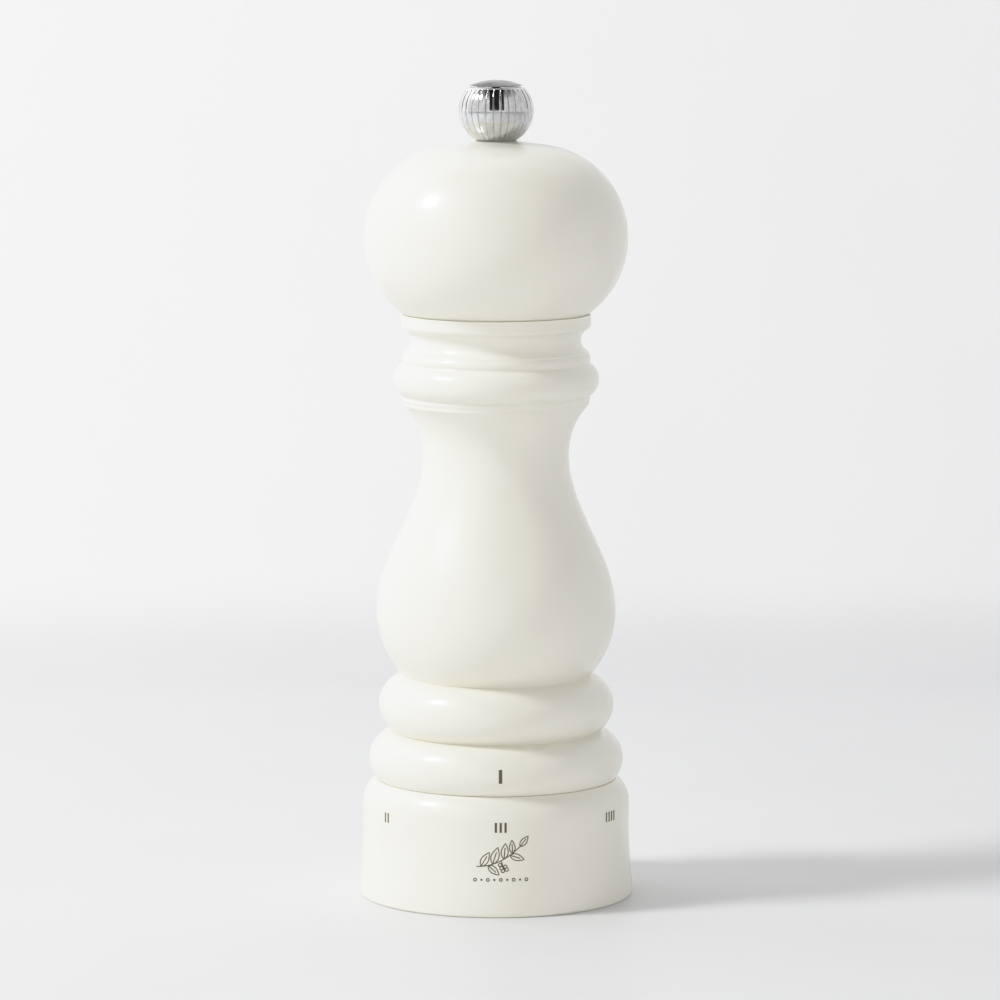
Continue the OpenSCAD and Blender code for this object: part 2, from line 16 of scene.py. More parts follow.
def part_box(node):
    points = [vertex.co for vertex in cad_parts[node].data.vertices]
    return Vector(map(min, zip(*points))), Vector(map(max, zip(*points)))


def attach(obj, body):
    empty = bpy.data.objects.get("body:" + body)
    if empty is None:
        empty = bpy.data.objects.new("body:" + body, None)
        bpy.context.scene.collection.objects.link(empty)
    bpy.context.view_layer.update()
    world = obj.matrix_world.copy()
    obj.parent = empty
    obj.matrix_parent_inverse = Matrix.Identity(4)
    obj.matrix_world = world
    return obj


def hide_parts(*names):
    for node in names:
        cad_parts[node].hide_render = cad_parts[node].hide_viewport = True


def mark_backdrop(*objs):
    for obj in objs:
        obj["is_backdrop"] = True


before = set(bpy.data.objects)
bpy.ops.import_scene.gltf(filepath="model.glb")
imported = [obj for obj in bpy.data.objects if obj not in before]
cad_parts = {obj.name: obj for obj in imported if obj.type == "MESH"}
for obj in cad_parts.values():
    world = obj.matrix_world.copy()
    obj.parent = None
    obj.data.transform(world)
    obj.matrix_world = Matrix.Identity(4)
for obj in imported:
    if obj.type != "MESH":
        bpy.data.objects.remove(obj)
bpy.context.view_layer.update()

MM = 0.001


def low(node, axis=2):
    """Lowest coordinate of a CAD node, in millimetres."""
    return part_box(node)[0][axis] / MM


def high(node, axis=2):
    """Highest coordinate of a CAD node, in millimetres."""
    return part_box(node)[1][axis] / MM


# ---------------- sizes

BASE_TOP = high("base_ring")
BODY_BOTTOM = low("body")
BODY_TOP = high("body")
SEAM_GAP = BODY_BOTTOM - BASE_TOP
SEAM = (BASE_TOP + BODY_BOTTOM) / 2
HEAD_BOTTOM = BODY_TOP + SEAM_GAP
SEAM_CLOSE = 0.14  # how far each lacquered edge reaches into its seam
KNOB_SEAT = low("knob")
MILL_TOP = high("knob_cap")

LOWER_BEAD = {"r": high("body", 0), "z": SEAM + 4.3, "round": 6.4}
UPPER_BEAD = {"r": 25.95, "z": SEAM + 16.3, "round": 6.8}
BELLY = {"r": 26.4, "z": SEAM + 37.2, "round": 21.0}
NECK = {"r": 16.1, "z": BODY_TOP - 30.75, "hollow": 16.0}
COLLAR = {"r": 20.9, "h": 3.1, "round": 0.9}
COVE = {"round": 2.8, "depth": 2.2, "z": BODY_TOP - 5.55}
NECK_BEAD = {"r": 22.7, "round": 4.0}
STEP_ROUND = 1.0
FILLET_ROUND = 1.5
CHAMBER_R = 11.5

HEAD_R = high("head", 0)
HEAD_FOOT_R = 20.5
CROWN_SLOPE = radians(8)
SPIGOT_R = CHAMBER_R - 0.1
SHAFT_HOLE = {"r": 4.76, "top": KNOB_SEAT - 29.65}
STUD_R = high("head_stud", 0)
STUD_HOLE_END = KNOB_SEAT - 18

FOOT_R = high("base_ring", 0)
BASE_R = 29.5
FOOT_FLARE_H = 14.0
SHOULDER = {"round": 6.4, "drop": 2.7}

SLEEVE_R = 18.5
SLEEVE_IN = 15.55
FLANGE_R = high("mechanism_housing", 0)
FLANGE_T = 3.0
HOUSING_SCREW_R = (SLEEVE_R + FLANGE_R) / 2 - 0.05
BRIDGE_TOP = high("bridge")
BRIDGE_SCREW_R = (SLEEVE_IN + SLEEVE_R) / 2
ADJUSTER_BOTTOM = low("adjuster_ring")
ADJUSTER_TUBE_R = 22.4
ADJUSTER_FLANGE_R = high("adjuster_ring", 0)
ADJUSTER_FLANGE_T = 2.5
ADJUSTER_SCREW_R = (ADJUSTER_TUBE_R + ADJUSTER_FLANGE_R) / 2
PLATE_BOTTOM = low("drive_plate")
PLATE_SCREW_R = 7.78
SCREW_COUNT = 3
SCREW_STEP = 120
SCREW_PHASE = 150
WOOD_GAP = 0.05
BARE_EDGE = 2.5  # how far bare wood shows round the chamber and the spigot

ROTOR_BOTTOM = low("rotor")
ROTOR_TOP = high("rotor")
ROTOR_TEETH = 30
STATOR_TEETH = 36
GRIND_H = 7.5
GRIND_TAPER = 2.0
TOOTH_SLANT = radians(8)
FLUTE_SLANT = radians(30)

CAP_SEAT = MILL_TOP - 1.3
KNOB = {"r": 8.3, "foot": 4.3, "mid": (KNOB_SEAT + MILL_TOP) / 2, "rim": 6.1,
        "top": CAP_SEAT - 0.3}
FLUTES = 30

SETTINGS = 6
TALLY = {"w": 0.5, "low": 18.7, "high": 20.9, "pitch": 1.05}
POINTER = {"w": 0.75, "low": SEAM + 3.2, "high": SEAM + 6.2}
SETTING_STEP = 56
REST_SETTING = 3


# ---------------- outlines

def bead(centre_r, centre_z, size):
    """Outline of a round: its radius at each height, or 0 beyond it."""
    def radius(z):
        rise = size ** 2 - (z - centre_z) ** 2
        return centre_r + sqrt(rise) if rise > 0 else 0
    return radius


def limited(shape, z0, z1):
    """The shape between two heights, and nothing beyond them."""
    return lambda z: shape(z) if z0 <= z <= z1 else 0


def half_wave(r0, z0, r1, z1):
    """A smooth slope from one radius to another."""
    return limited(lambda z: r1 + (r0 - r1) * (1 + cos(pi * (z - z0) / (z1 - z0))) / 2, z0, z1)


def soften(points, spread=0.3, fine=0.05):
    """The outline with its creases and edges rounded, as coats of lacquer do."""
    path = np.array(points, float)
    along = np.append(0, np.cumsum(np.hypot(*np.diff(path, axis=0).T)))
    steps = np.append(np.arange(0, along[-1], fine), along[-1])
    reach = int(4 * spread / fine)
    weights = np.exp(-0.5 * (np.arange(-reach, reach + 1) * fine / spread) ** 2)
    weights /= weights.sum()
    smooth = []
    for column in range(2):
        even = np.interp(steps, along, path[:, column])
        padded = np.pad(even, reach, mode="reflect", reflect_type="odd")
        smooth.append(np.convolve(padded, weights, "valid"))
    return thin(list(zip(*smooth)))


def thin(path, turn=4.5, gap=1.3):
    """Only the points that a smooth outline needs: one for each few degrees of turn."""
    kept = [path[0]]
    turned = gone = 0
    for before, here, after in zip(path, path[1:], path[2:]):
        a = Vector(here) - Vector(before)
        b = Vector(after) - Vector(here)
        turned += abs(a.angle_signed(b, 0))
        gone += a.length
        if turned >= radians(turn) or gone >= gap:
            kept.append(here)
            turned = gone = 0
    return kept + [path[-1]]


def rounded(points, size=0.2, steps=2):
    """The outline with a small round on each corner, apart from its two ends."""
    path = [points[0]]
    for before, here, after in zip(points, points[1:], points[2:]):
        p, a, b = Vector(here), Vector(before), Vector(after)
        reach = min(size, (a - p).length / 2.2, (b - p).length / 2.2)
        start = p + (a - p).normalized() * reach
        end = p + (b - p).normalized() * reach
        for i in range(steps + 1):
            t = i / steps
            path.append(tuple(start * (1 - t) ** 2 + p * (2 * t * (1 - t)) + end * t ** 2))
    return path + [points[-1]]


def arc(centre, size, start, end, steps):
    """Points along an arc between two angles in degrees."""
    angles = [radians(start + (end - start) * i / steps) for i in range(steps + 1)]
    return [(centre[0] + size * cos(a), centre[1] + size * sin(a)) for a in angles]


def slope(r0, z0, r1, z1, steps):
    """Evenly spaced points along a straight line."""
    return [(r0 + (r1 - r0) * i / steps, z0 + (z1 - z0) * i / steps)
            for i in range(steps + 1)]


def body_shapes():
    """The rounds, slopes and straight stretches that the body is turned from."""
    collar_low = BODY_TOP - COLLAR["h"]
    shelf_r = COLLAR["r"] - 0.4
    fillet_z = COVE["z"] - COVE["round"] - FILLET_ROUND + 0.2
    neck_bead_z = fillet_z - NECK_BEAD["round"] - 0.6
    step_z = neck_bead_z - NECK_BEAD["round"] - 0.1
    hollow_r = NECK["r"] + NECK["hollow"]
    hollow_h = sqrt(NECK["hollow"] ** 2 - (hollow_r - shelf_r) ** 2)
    cove_r = COLLAR["r"] - COVE["depth"] + COVE["round"]

    def straight(r, z0, z1):
        return limited(lambda z: r, z0, z1)

    def hollow(z):
        return hollow_r - sqrt(NECK["hollow"] ** 2 - (z - NECK["z"]) ** 2)

    def cove(z):
        rise = COVE["round"] ** 2 - (z - COVE["z"]) ** 2
        return min(COLLAR["r"] - 0.7, cove_r - sqrt(max(rise, 0)))

    return [
        bead(LOWER_BEAD["r"] - LOWER_BEAD["round"], LOWER_BEAD["z"], LOWER_BEAD["round"]),
        straight(LOWER_BEAD["r"] - 5.2, BODY_BOTTOM, UPPER_BEAD["z"]),
        bead(UPPER_BEAD["r"] - UPPER_BEAD["round"], UPPER_BEAD["z"], UPPER_BEAD["round"]),
        straight(UPPER_BEAD["r"] - 5.6, UPPER_BEAD["z"] - 1, BELLY["z"] - 10),
        limited(bead(BELLY["r"] - BELLY["round"], BELLY["z"], BELLY["round"]),
                BELLY["z"] - 18.5, BELLY["z"]),
        half_wave(BELLY["r"], BELLY["z"], NECK["r"], NECK["z"]),
        limited(hollow, NECK["z"], NECK["z"] + hollow_h),
        straight(shelf_r, NECK["z"] + hollow_h - 0.1, fillet_z + 1),
        bead(COLLAR["r"] - 0.1 - STEP_ROUND, step_z, STEP_ROUND),
        bead(NECK_BEAD["r"] - NECK_BEAD["round"], neck_bead_z, NECK_BEAD["round"]),
        bead(COLLAR["r"] - 0.1 - FILLET_ROUND, fillet_z, FILLET_ROUND),
        half_wave(NECK_BEAD["r"] - 0.5, neck_bead_z + 1.2, COLLAR["r"] - 0.6, fillet_z),
        limited(cove, fillet_z, collar_low + 0.1),
        limited(bead(COLLAR["r"] - COLLAR["round"], collar_low + COLLAR["round"],
                     COLLAR["round"]), collar_low, collar_low + COLLAR["round"]),
        straight(COLLAR["r"], collar_low + COLLAR["round"], BODY_TOP),
    ]


def body_radius(z):
    """Radius of the body's outside at a height."""
    return max(shape(z) for shape in BODY_SHAPES)


BODY_SHAPES = body_shapes()


def base_outline():
    """Outside of the base ring, from its foot to the seam."""
    flare = half_wave(FOOT_R, 0.4, BASE_R, FOOT_FLARE_H)
    round_ = SHOULDER["round"]
    side = round_ - SHOULDER["drop"]
    lift = sqrt(round_ ** 2 - side ** 2)
    turn = np.degrees(np.arccos(side / round_))
    sides = [(flare(z), z) for z in np.linspace(0.4, FOOT_FLARE_H, 16)]
    shoulder = arc((BASE_R - round_, BASE_TOP - lift), round_, 0, turn, 14)
    return [(FOOT_R - 0.4, 0)] + sides + shoulder + [(shoulder[-1][0], BASE_TOP + SEAM_CLOSE)]


def base_radius(z):
    """Radius of the base ring's outside at a height."""
    outline = base_outline()
    return float(np.interp(z, [p[1] for p in outline], [p[0] for p in outline]))


# ---------------- mesh making

def new_object(name, mesh):
    """A linked object for a mesh, at the origin."""
    piece = bpy.data.objects.new(name, mesh)
    bpy.context.scene.collection.objects.link(piece)
    return piece


def mesh_object(name, shell, finishes, closed=True):
    """An object from a bmesh, with smooth faces and outward normals."""
    if closed:
        bmesh.ops.recalc_face_normals(shell, faces=shell.faces)
    mesh = bpy.data.meshes.new(name)
    shell.to_mesh(mesh)
    shell.free()
    for finish in finishes:
        mesh.materials.append(finish)
    mesh.shade_smooth()
    mesh.set_sharp_from_angle(angle=radians(40))
    return new_object(name, mesh)


def revolve(name, sections, columns=144, angles=None, shape=None):
    """Surface of revolution from (outline, finish) sections that follow each other.

    The outline runs with the solid on its left.  It ends at the axis or closes on
    itself.  With angles, only that sector is made.  shape moves each point.
    """
    shell = bmesh.new()
    points = [point for outline, _ in sections for point in outline]
    coats = [i for i, (outline, _) in enumerate(sections) for _ in outline]
    around = angles or [2 * pi * i / columns for i in range(columns)]
    rings = []
    for r, z in points:
        if r < 1e-6:
            rings.append([shell.verts.new((0, 0, z * MM))] * len(around))
            continue
        ring = []
        for angle in around:
            pr, pz, pa = shape(r, z, angle) if shape else (r, z, angle)
            ring.append(shell.verts.new((pr * MM * cos(pa), pr * MM * sin(pa), pz * MM)))
        rings.append(ring)
    joined = points[0][0] > 1e-6 and points[-1][0] > 1e-6
    for k in range(len(rings) if joined else len(rings) - 1):
        first, second = rings[k], rings[(k + 1) % len(rings)]
        for i in range(len(around) - (1 if angles else 0)):
            j = (i + 1) % len(around)
            corners = list(dict.fromkeys((first[i], first[j], second[j], second[i])))
            if len(corners) > 2:
                shell.faces.new(corners).material_index = coats[k]
    return mesh_object(name, shell, [finish for _, finish in sections], closed=not angles)


def settled(piece):
    """Replaces the piece's mesh with what its modifiers make of it."""
    graph = bpy.context.evaluated_depsgraph_get()
    graph.update()
    mesh = bpy.data.meshes.new_from_object(piece.evaluated_get(graph))
    piece.modifiers.clear()
    piece.data = mesh
    return piece


def moved(piece, x=0, y=0, z=0, flip=False):
    """Moves the piece's mesh, turned over first if asked."""
    if flip:
        piece.data.transform(Matrix.Rotation(pi, 4, "X"))
    piece.data.transform(Matrix.Translation(Vector((x, y, z)) * MM))
    return piece


def refined(node, name, finish, edge=0.12):
    """A copy of a CAD node with whole flat faces and broken edges."""
    shell = bmesh.new()
    shell.from_mesh(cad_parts[node].data)
    bmesh.ops.remove_doubles(shell, verts=shell.verts, dist=1e-6)
    bmesh.ops.dissolve_limit(shell, angle_limit=radians(0.5), verts=shell.verts,
                             edges=shell.edges)
    piece = mesh_object(name, shell, [finish])
    bevel = piece.modifiers.new("broken edges", "BEVEL")
    bevel.width = edge * MM
    bevel.segments = 2
    bevel.limit_method = "ANGLE"
    bevel.angle_limit = radians(40)
    bevel.harden_normals = True
    return settled(piece)


def wrapped(piece, radius_at, lift=0.012, flat=0.1):
    """Lays a flat drawing in x and z on the front of a turned surface."""
    for vertex in piece.data.vertices:
        x, y, z = vertex.co / MM
        r = radius_at(z)
        angle = x / r
        r += lift - y * flat
        vertex.co = Vector((r * sin(angle), -r * cos(angle), z)) * MM
    piece.data.update()
    return piece


# ---------------- node trees

def new_tree(name, inputs):
    """A geometry tree with named inputs, and its two end nodes."""
    tree = bpy.data.node_groups.new(name, "GeometryNodeTree")
    face = tree.interface
    face.new_socket("Geometry", in_out="INPUT", socket_type="NodeSocketGeometry")
    for label, kind in inputs:
        face.new_socket(label, in_out="INPUT", socket_type="NodeSocket" + kind)
    face.new_socket("Geometry", in_out="OUTPUT", socket_type="NodeSocketGeometry")
    return tree, tree.nodes.new("NodeGroupInput"), tree.nodes.new("NodeGroupOutput")


def joined_to(tree, socket, value):
    """Links the value to the socket, or sets it if it is a number."""
    if isinstance(value, bpy.types.NodeSocket):
        tree.links.new(value, socket)
    else:
        socket.default_value = value


def feed(tree, sockets, **values):
    """Links or sets sockets by their names."""
    for name, value in values.items():
        joined_to(tree, sockets[name.replace("_", " ")], value)


def output(tree, kind, **inputs):
    """First output of a new node, with its inputs fed by name."""
    node = tree.nodes.new(kind)
    feed(tree, node.inputs, **inputs)
    return node.outputs[0]


def maths(tree, operation, first, second=0.0):
    """Output of a Math node."""
    node = tree.nodes.new("ShaderNodeMath")
    node.operation = operation
    joined_to(tree, node.inputs[0], first)
    joined_to(tree, node.inputs[1], second)
    return node.outputs[0]


def finish_tree(tree, geometry, finish, end):
    """Closes a tree with Realize Instances and Set Material."""
    real = output(tree, "GeometryNodeRealizeInstances", Geometry=geometry)
    painted = output(tree, "GeometryNodeSetMaterial", Geometry=real, Material=finish)
    tree.links.new(painted, end.inputs[0])


def ring_tree():
    """Copies its geometry round the upright axis, in a row whose middle is at Phase."""
    tree, start, end = new_tree("ring_of_copies", [
        ("Count", "Int"), ("Step", "Float"), ("Phase", "Float"), ("Weld", "Float"),
        ("Finish", "Material")])
    sizes = start.outputs
    index = tree.nodes.new("GeometryNodeInputIndex").outputs[0]
    line = output(tree, "GeometryNodeMeshLine", Count=sizes["Count"], Offset=(0, 0, 0))
    middle = maths(tree, "MULTIPLY", maths(tree, "SUBTRACT", sizes["Count"], 1.0), 0.5)
    place = maths(tree, "SUBTRACT", index, middle)
    turn = maths(tree, "ADD", maths(tree, "MULTIPLY", place, sizes["Step"]), sizes["Phase"])
    copies = output(tree, "GeometryNodeInstanceOnPoints", Points=line,
                    Instance=sizes["Geometry"],
                    Rotation=output(tree, "ShaderNodeCombineXYZ", Z=turn))
    real = output(tree, "GeometryNodeRealizeInstances", Geometry=copies)
    welded = output(tree, "GeometryNodeMergeByDistance", Geometry=real,
                    Distance=sizes["Weld"])
    finish_tree(tree, welded, sizes["Finish"], end)
    return tree


def coil_tree():
    """Sweeps a round wire along a coil whose end turns lie flat."""
    tree, start, end = new_tree("coil_of_wire", [
        ("Turns", "Float"), ("Points", "Int"), ("Radius", "Float"), ("Wire", "Float"),
        ("Low", "Float"), ("High", "Float"), ("Flat share", "Float"),
        ("Finish", "Material")])
    sizes = start.outputs
    index = tree.nodes.new("GeometryNodeInputIndex").outputs[0]
    share = maths(tree, "DIVIDE", index, maths(tree, "SUBTRACT", sizes["Points"], 1.0))
    angle = maths(tree, "MULTIPLY", maths(tree, "MULTIPLY", share, sizes["Turns"]), 2 * pi)
    rise_end = maths(tree, "SUBTRACT", 1.0, sizes["Flat share"])
    rise = output(tree, "ShaderNodeMapRange", Value=share, From_Min=sizes["Flat share"],
                  From_Max=rise_end, To_Min=sizes["Low"], To_Max=sizes["High"])
    place = output(tree, "ShaderNodeCombineXYZ", Z=rise,
                   X=maths(tree, "MULTIPLY", sizes["Radius"], maths(tree, "COSINE", angle)),
                   Y=maths(tree, "MULTIPLY", sizes["Radius"], maths(tree, "SINE", angle)))
    line = output(tree, "GeometryNodeMeshLine", Count=sizes["Points"], Offset=(0, 0, MM))
    bend = output(tree, "GeometryNodeSetPosition", Geometry=line, Position=place)
    curve = output(tree, "GeometryNodeMeshToCurve", Mesh=bend)
    section = output(tree, "GeometryNodeCurvePrimitiveCircle", Resolution=12,
                     Radius=sizes["Wire"])
    wire = output(tree, "GeometryNodeCurveToMesh", Curve=curve, Profile_Curve=section,
                  Fill_Caps=True)
    smooth = output(tree, "GeometryNodeSetShadeSmooth", Geometry=wire)
    finish_tree(tree, smooth, sizes["Finish"], end)
    return tree


RING = ring_tree()
COIL = coil_tree()


def grown(piece, tree, **values):
    """The piece as the tree makes it, as a plain mesh.  Inputs are given by name."""
    work = piece.modifiers.new("grow", "NODES")
    work.node_group = tree
    named = {name.replace("_", " ").capitalize(): value for name, value in values.items()}
    for item in tree.interface.items_tree:
        if item.item_type == "SOCKET" and item.in_out == "INPUT" and item.name in named:
            work[item.identifier] = named[item.name]
    piece.data.materials.clear()
    return settled(piece)


def ring_of(piece, count, step, phase, finish, weld=0.0):
    """Copies of the piece round the axis; step and phase are degrees."""
    return grown(piece, RING, count=count, step=radians(step), phase=radians(phase),
                 weld=weld * MM, finish=finish)


# ---------------- finishes

def new_finish(name, colour, roughness, metallic=0.0):
    """A material, its tree and its main shader's sockets, ready for a pattern."""
    material = bpy.data.materials.new(name)
    material.use_nodes = True
    tree = material.node_tree
    sockets = tree.nodes["Principled BSDF"].inputs
    sockets["Base Color"].default_value = (*colour, 1)
    sockets["Roughness"].default_value = roughness
    sockets["Metallic"].default_value = metallic
    return material, tree, sockets


def noise(tree, size, detail=2.0, distortion=0.0):
    """Noise on the piece's own coordinates; size is one patch, in mm, along x, y and z."""
    where = tree.nodes.new("ShaderNodeTexCoord").outputs["Object"]
    place = output(tree, "ShaderNodeMapping", Vector=where,
                   Scale=[1 / (patch * MM) for patch in size])
    return output(tree, "ShaderNodeTexNoise", Vector=place, Scale=1.0, Detail=detail,
                  Distortion=distortion)


def spread(tree, value, first, last, start=0.35, end=0.65):
    """The value from first to last while the pattern goes from start to end."""
    node = tree.nodes.new("ShaderNodeMapRange")
    node.interpolation_type = "SMOOTHSTEP"
    tree.links.new(value, node.inputs["Value"])
    for socket, number in zip(list(node.inputs)[1:5], (start, end, first, last)):
        socket.default_value = number
    return node.outputs[0]


def tinted(tree, value, first, last):
    """A colour between two, by the pattern's value.  The first may be a pattern too."""
    node = tree.nodes.new("ShaderNodeMix")
    node.data_type = "RGBA"
    tree.links.new(value, node.inputs[0])
    for socket, colour in ((node.inputs[6], first), (node.inputs[7], last)):
        joined_to(tree, socket, (*colour, 1) if isinstance(colour, tuple) else colour)
    return node.outputs[2]


def relief(tree, sockets, value, depth, **under):
    """Bumps of a depth in mm, over any bumps below."""
    bumps = output(tree, "ShaderNodeBump", Distance=depth * MM, Height=value, **under)
    tree.links.new(bumps, sockets["Normal"])
    return bumps


def lacquer():
    """Ivory lacquer: faint orange peel over soft turning waves, slight clouding."""
    material, tree, sockets = new_finish("ivory_lacquer", (0.83, 0.815, 0.745), 0.3)
    clouds = spread(tree, noise(tree, (16, 16, 24), 1), 0, 1, 0.3, 0.7)
    wear = spread(tree, noise(tree, (5, 5, 8), 1), 0.29, 0.33, 0.3, 0.7)
    feed(tree, sockets, Roughness=wear, Coat_Weight=0.4, Coat_Roughness=0.08,
         Base_Color=tinted(tree, clouds, (0.85, 0.828, 0.728), (0.84, 0.816, 0.712)))
    waves = relief(tree, sockets, noise(tree, (11, 11, 5), 0), 0.012)
    relief(tree, sockets, noise(tree, (1.1, 1.1, 1.1), 0), 0.0006, Normal=waves)
    return material


def bare_beech():
    """Unlacquered beech: upright grain, short dark flecks and open pores."""
    material, tree, sockets = new_finish("bare_beech", (0.62, 0.43, 0.26), 0.62)
    grain = spread(tree, noise(tree, (1.1, 1.1, 26), 3, 0.4), 0, 1)
    flecks = spread(tree, noise(tree, (0.35, 0.35, 2.2), 1), 0, 1, 0.6, 0.68)
    wood = tinted(tree, grain, (0.66, 0.47, 0.29), (0.55, 0.36, 0.2))
    feed(tree, sockets, Base_Color=tinted(tree, flecks, wood, (0.34, 0.19, 0.09)),
         Roughness=spread(tree, grain, 0.55, 0.7, 0, 1))
    relief(tree, sockets, flecks, -0.03)
    return material


def chrome(name, light, dark, patch):
    """Polished metal with faint waviness, between two greys."""
    material, tree, sockets = new_finish(name, (light,) * 3, 0.09, 1.0)
    cloud = spread(tree, noise(tree, patch, 2, 0.6), 0, 1)
    feed(tree, sockets, Base_Color=tinted(tree, cloud, (light,) * 3, (dark,) * 3),
         Roughness=spread(tree, noise(tree, (1.6, 1.6, 2.4), 3), 0.05, 0.15))
    relief(tree, sockets, noise(tree, (0.5, 0.5, 0.7), 2), 0.004)
    return material


def steel(name, colour, roughness, brushed, depth=0.004):
    """Steel with fine marks along the given patch size, in mm."""
    material, tree, sockets = new_finish(name, colour, roughness, 1.0)
    marks = noise(tree, brushed, 3)
    darker = tuple(c * 0.82 for c in colour)
    patches = spread(tree, noise(tree, (2.5, 2.5, 2.5), 3), 0, 1)
    feed(tree, sockets, Base_Color=tinted(tree, patches, colour, darker),
         Roughness=spread(tree, marks, roughness - 0.07, roughness + 0.09))
    relief(tree, sockets, marks, depth)
    return material


def nylon():
    """Black moulded nylon with the fine grain of the mould."""
    material, tree, sockets = new_finish("black_nylon", (0.028, 0.028, 0.03), 0.5)
    flow = spread(tree, noise(tree, (6, 6, 6)), 0, 1)
    feed(tree, sockets, Roughness=spread(tree, noise(tree, (2, 2, 2), 3), 0.42, 0.58),
         Base_Color=tinted(tree, flow, (0.026, 0.026, 0.028), (0.036, 0.036, 0.037)))
    relief(tree, sockets, noise(tree, (0.16, 0.16, 0.16), 1), 0.01)
    return material


def brass():
    """Turned brass with fine rings and a warm tarnish."""
    material, tree, sockets = new_finish("brass", (0.78, 0.57, 0.26), 0.28, 1.0)
    patches = spread(tree, noise(tree, (1.5, 1.5, 1.5), 3), 0, 1)
    feed(tree, sockets, Roughness=spread(tree, patches, 0.22, 0.38, 0, 1),
         Base_Color=tinted(tree, patches, (0.79, 0.58, 0.27), (0.62, 0.42, 0.18)))
    relief(tree, sockets, noise(tree, (4, 4, 0.12), 1), 0.003)
    return material


def ink():
    """Dark olive print, slightly uneven in cover."""
    material, tree, sockets = new_finish("print_ink", (0.1, 0.085, 0.035), 0.42)
    cover = spread(tree, noise(tree, (0.25, 0.25, 0.25), 2), 0, 1)
    feed(tree, sockets, Roughness=spread(tree, cover, 0.38, 0.5, 0, 1),
         Base_Color=tinted(tree, cover, (0.085, 0.072, 0.028), (0.13, 0.112, 0.055)))
    return material


LACQUER = lacquer()
BEECH = bare_beech()
CHROME = chrome("chrome", 0.74, 0.62, (0.8, 0.8, 1.2))
# the cap's metal is painted near black: a painted dark reflection of the dark ceiling over the
# knob
CAP_METAL_PAINTED_DARK = chrome("cap_metal_painted_dark", 0.26, 0.12, (3.5, 1.6, 1.6))
PLATED = steel("plated_steel", (0.62, 0.63, 0.65), 0.3, (1.2, 0.1, 1.2))
SHAFT_STEEL = steel("drawn_steel", (0.6, 0.61, 0.63), 0.27, (0.12, 0.12, 9))
GRINDER = steel("grinder_steel", (0.3, 0.29, 0.285), 0.42, (0.3, 0.3, 0.9), 0.012)
SPRING = steel("spring_steel", (0.5, 0.51, 0.53), 0.26, (0.2, 0.2, 0.2), 0.002)
NYLON = nylon()
BRASS = brass()
INK = ink()


# ---------------- wooden parts

def wooden_body():
    """The turned body: lacquered outside, bare chamber and pocket for the grinder."""
    bottom, top = BODY_BOTTOM - SEAM_CLOSE, BODY_TOP + SEAM_CLOSE
    outside = [(body_radius(min(z, BODY_TOP)), z) for z in np.arange(bottom, top, 0.05)]
    recess_r = FLANGE_R + WOOD_GAP
    sleeve_r = SLEEVE_R + WOOD_GAP
    lip = CHAMBER_R + BARE_EDGE
    shell = soften([(recess_r + 0.2, bottom)] + outside
                   + [(COLLAR["r"], top), (lip, top)], 0.13)
    pocket_top = BRIDGE_TOP + 1.6
    inside = rounded([
        (lip, top), (CHAMBER_R, top), (CHAMBER_R, pocket_top + 6.6),
        (SLEEVE_IN, pocket_top), (sleeve_r, pocket_top),
        (sleeve_r, BODY_BOTTOM + FLANGE_T), (recess_r, BODY_BOTTOM + FLANGE_T),
        (recess_r, bottom), (recess_r + 0.2, bottom)], 0.4)
    return revolve("body_wood", [(shell[:-1], LACQUER), (inside[:-1], BEECH)])


def wooden_head():
    """The turned head: lacquered dome, bare spigot with the hole for the shaft.

    One round rises from the foot past the widest point to the sloping crown, and its
    size is the one that meets both.
    """
    inset = HEAD_R - HEAD_FOOT_R
    share = 1 / cos(CROWN_SLOPE) - tan(CROWN_SLOPE)
    rise = (KNOB_SEAT - HEAD_BOTTOM - (HEAD_R - KNOB["foot"]) * tan(CROWN_SLOPE)) * share
    root = sqrt(inset * (2 * rise + inset * (1 - share ** 2)))
    round_ = (rise + inset - root) / share ** 2
    middle = (HEAD_R - round_, HEAD_BOTTOM + sqrt(inset * (2 * round_ - inset)))
    start = -np.degrees(np.arcsin((middle[1] - HEAD_BOTTOM) / round_))
    end = 90 - np.degrees(CROWN_SLOPE)
    dome = arc(middle, round_, start, end, 120) + [(KNOB["foot"], KNOB_SEAT)]
    bottom = HEAD_BOTTOM - SEAM_CLOSE
    spigot_end = low("head")
    foot = SPIGOT_R + BARE_EDGE
    low_side = rounded([
        (0, SHAFT_HOLE["top"]), (SHAFT_HOLE["r"], SHAFT_HOLE["top"]),
        (SHAFT_HOLE["r"], spigot_end), (SPIGOT_R, spigot_end), (SPIGOT_R, bottom),
        (foot, bottom)], 0.5)
    shell = soften([(foot, bottom), (dome[0][0] - 0.1, bottom)] + dome
                   + [(STUD_R + 0.3, KNOB_SEAT)], 0.07)
    top_bore = [(STUD_R, KNOB_SEAT - 0.3), (STUD_R, STUD_HOLE_END), (0, STUD_HOLE_END)]
    return revolve("head_wood", [(low_side[:-1], BEECH), (shell, LACQUER), (top_bore, BEECH)])


def wooden_base():
    """The base ring: lacquered outside, bare bore for the adjuster."""
    flange_r = ADJUSTER_FLANGE_R + WOOD_GAP
    tube_r = ADJUSTER_TUBE_R + WOOD_GAP
    flange_top = ADJUSTER_BOTTOM + ADJUSTER_FLANGE_T
    top = BASE_TOP + SEAM_CLOSE
    shell = soften([(flange_r + 0.3, 0)] + base_outline() + [(tube_r + 0.3, top)], 0.2)
    inside = rounded([
        (tube_r + 0.3, top), (tube_r, top), (tube_r, flange_top),
        (flange_r, flange_top), (flange_r, 0), (flange_r + 0.3, 0)], 0.25)
    return revolve("base_wood", [(shell[:-1], LACQUER), (inside[:-1], BEECH)])


# ---------------- knob

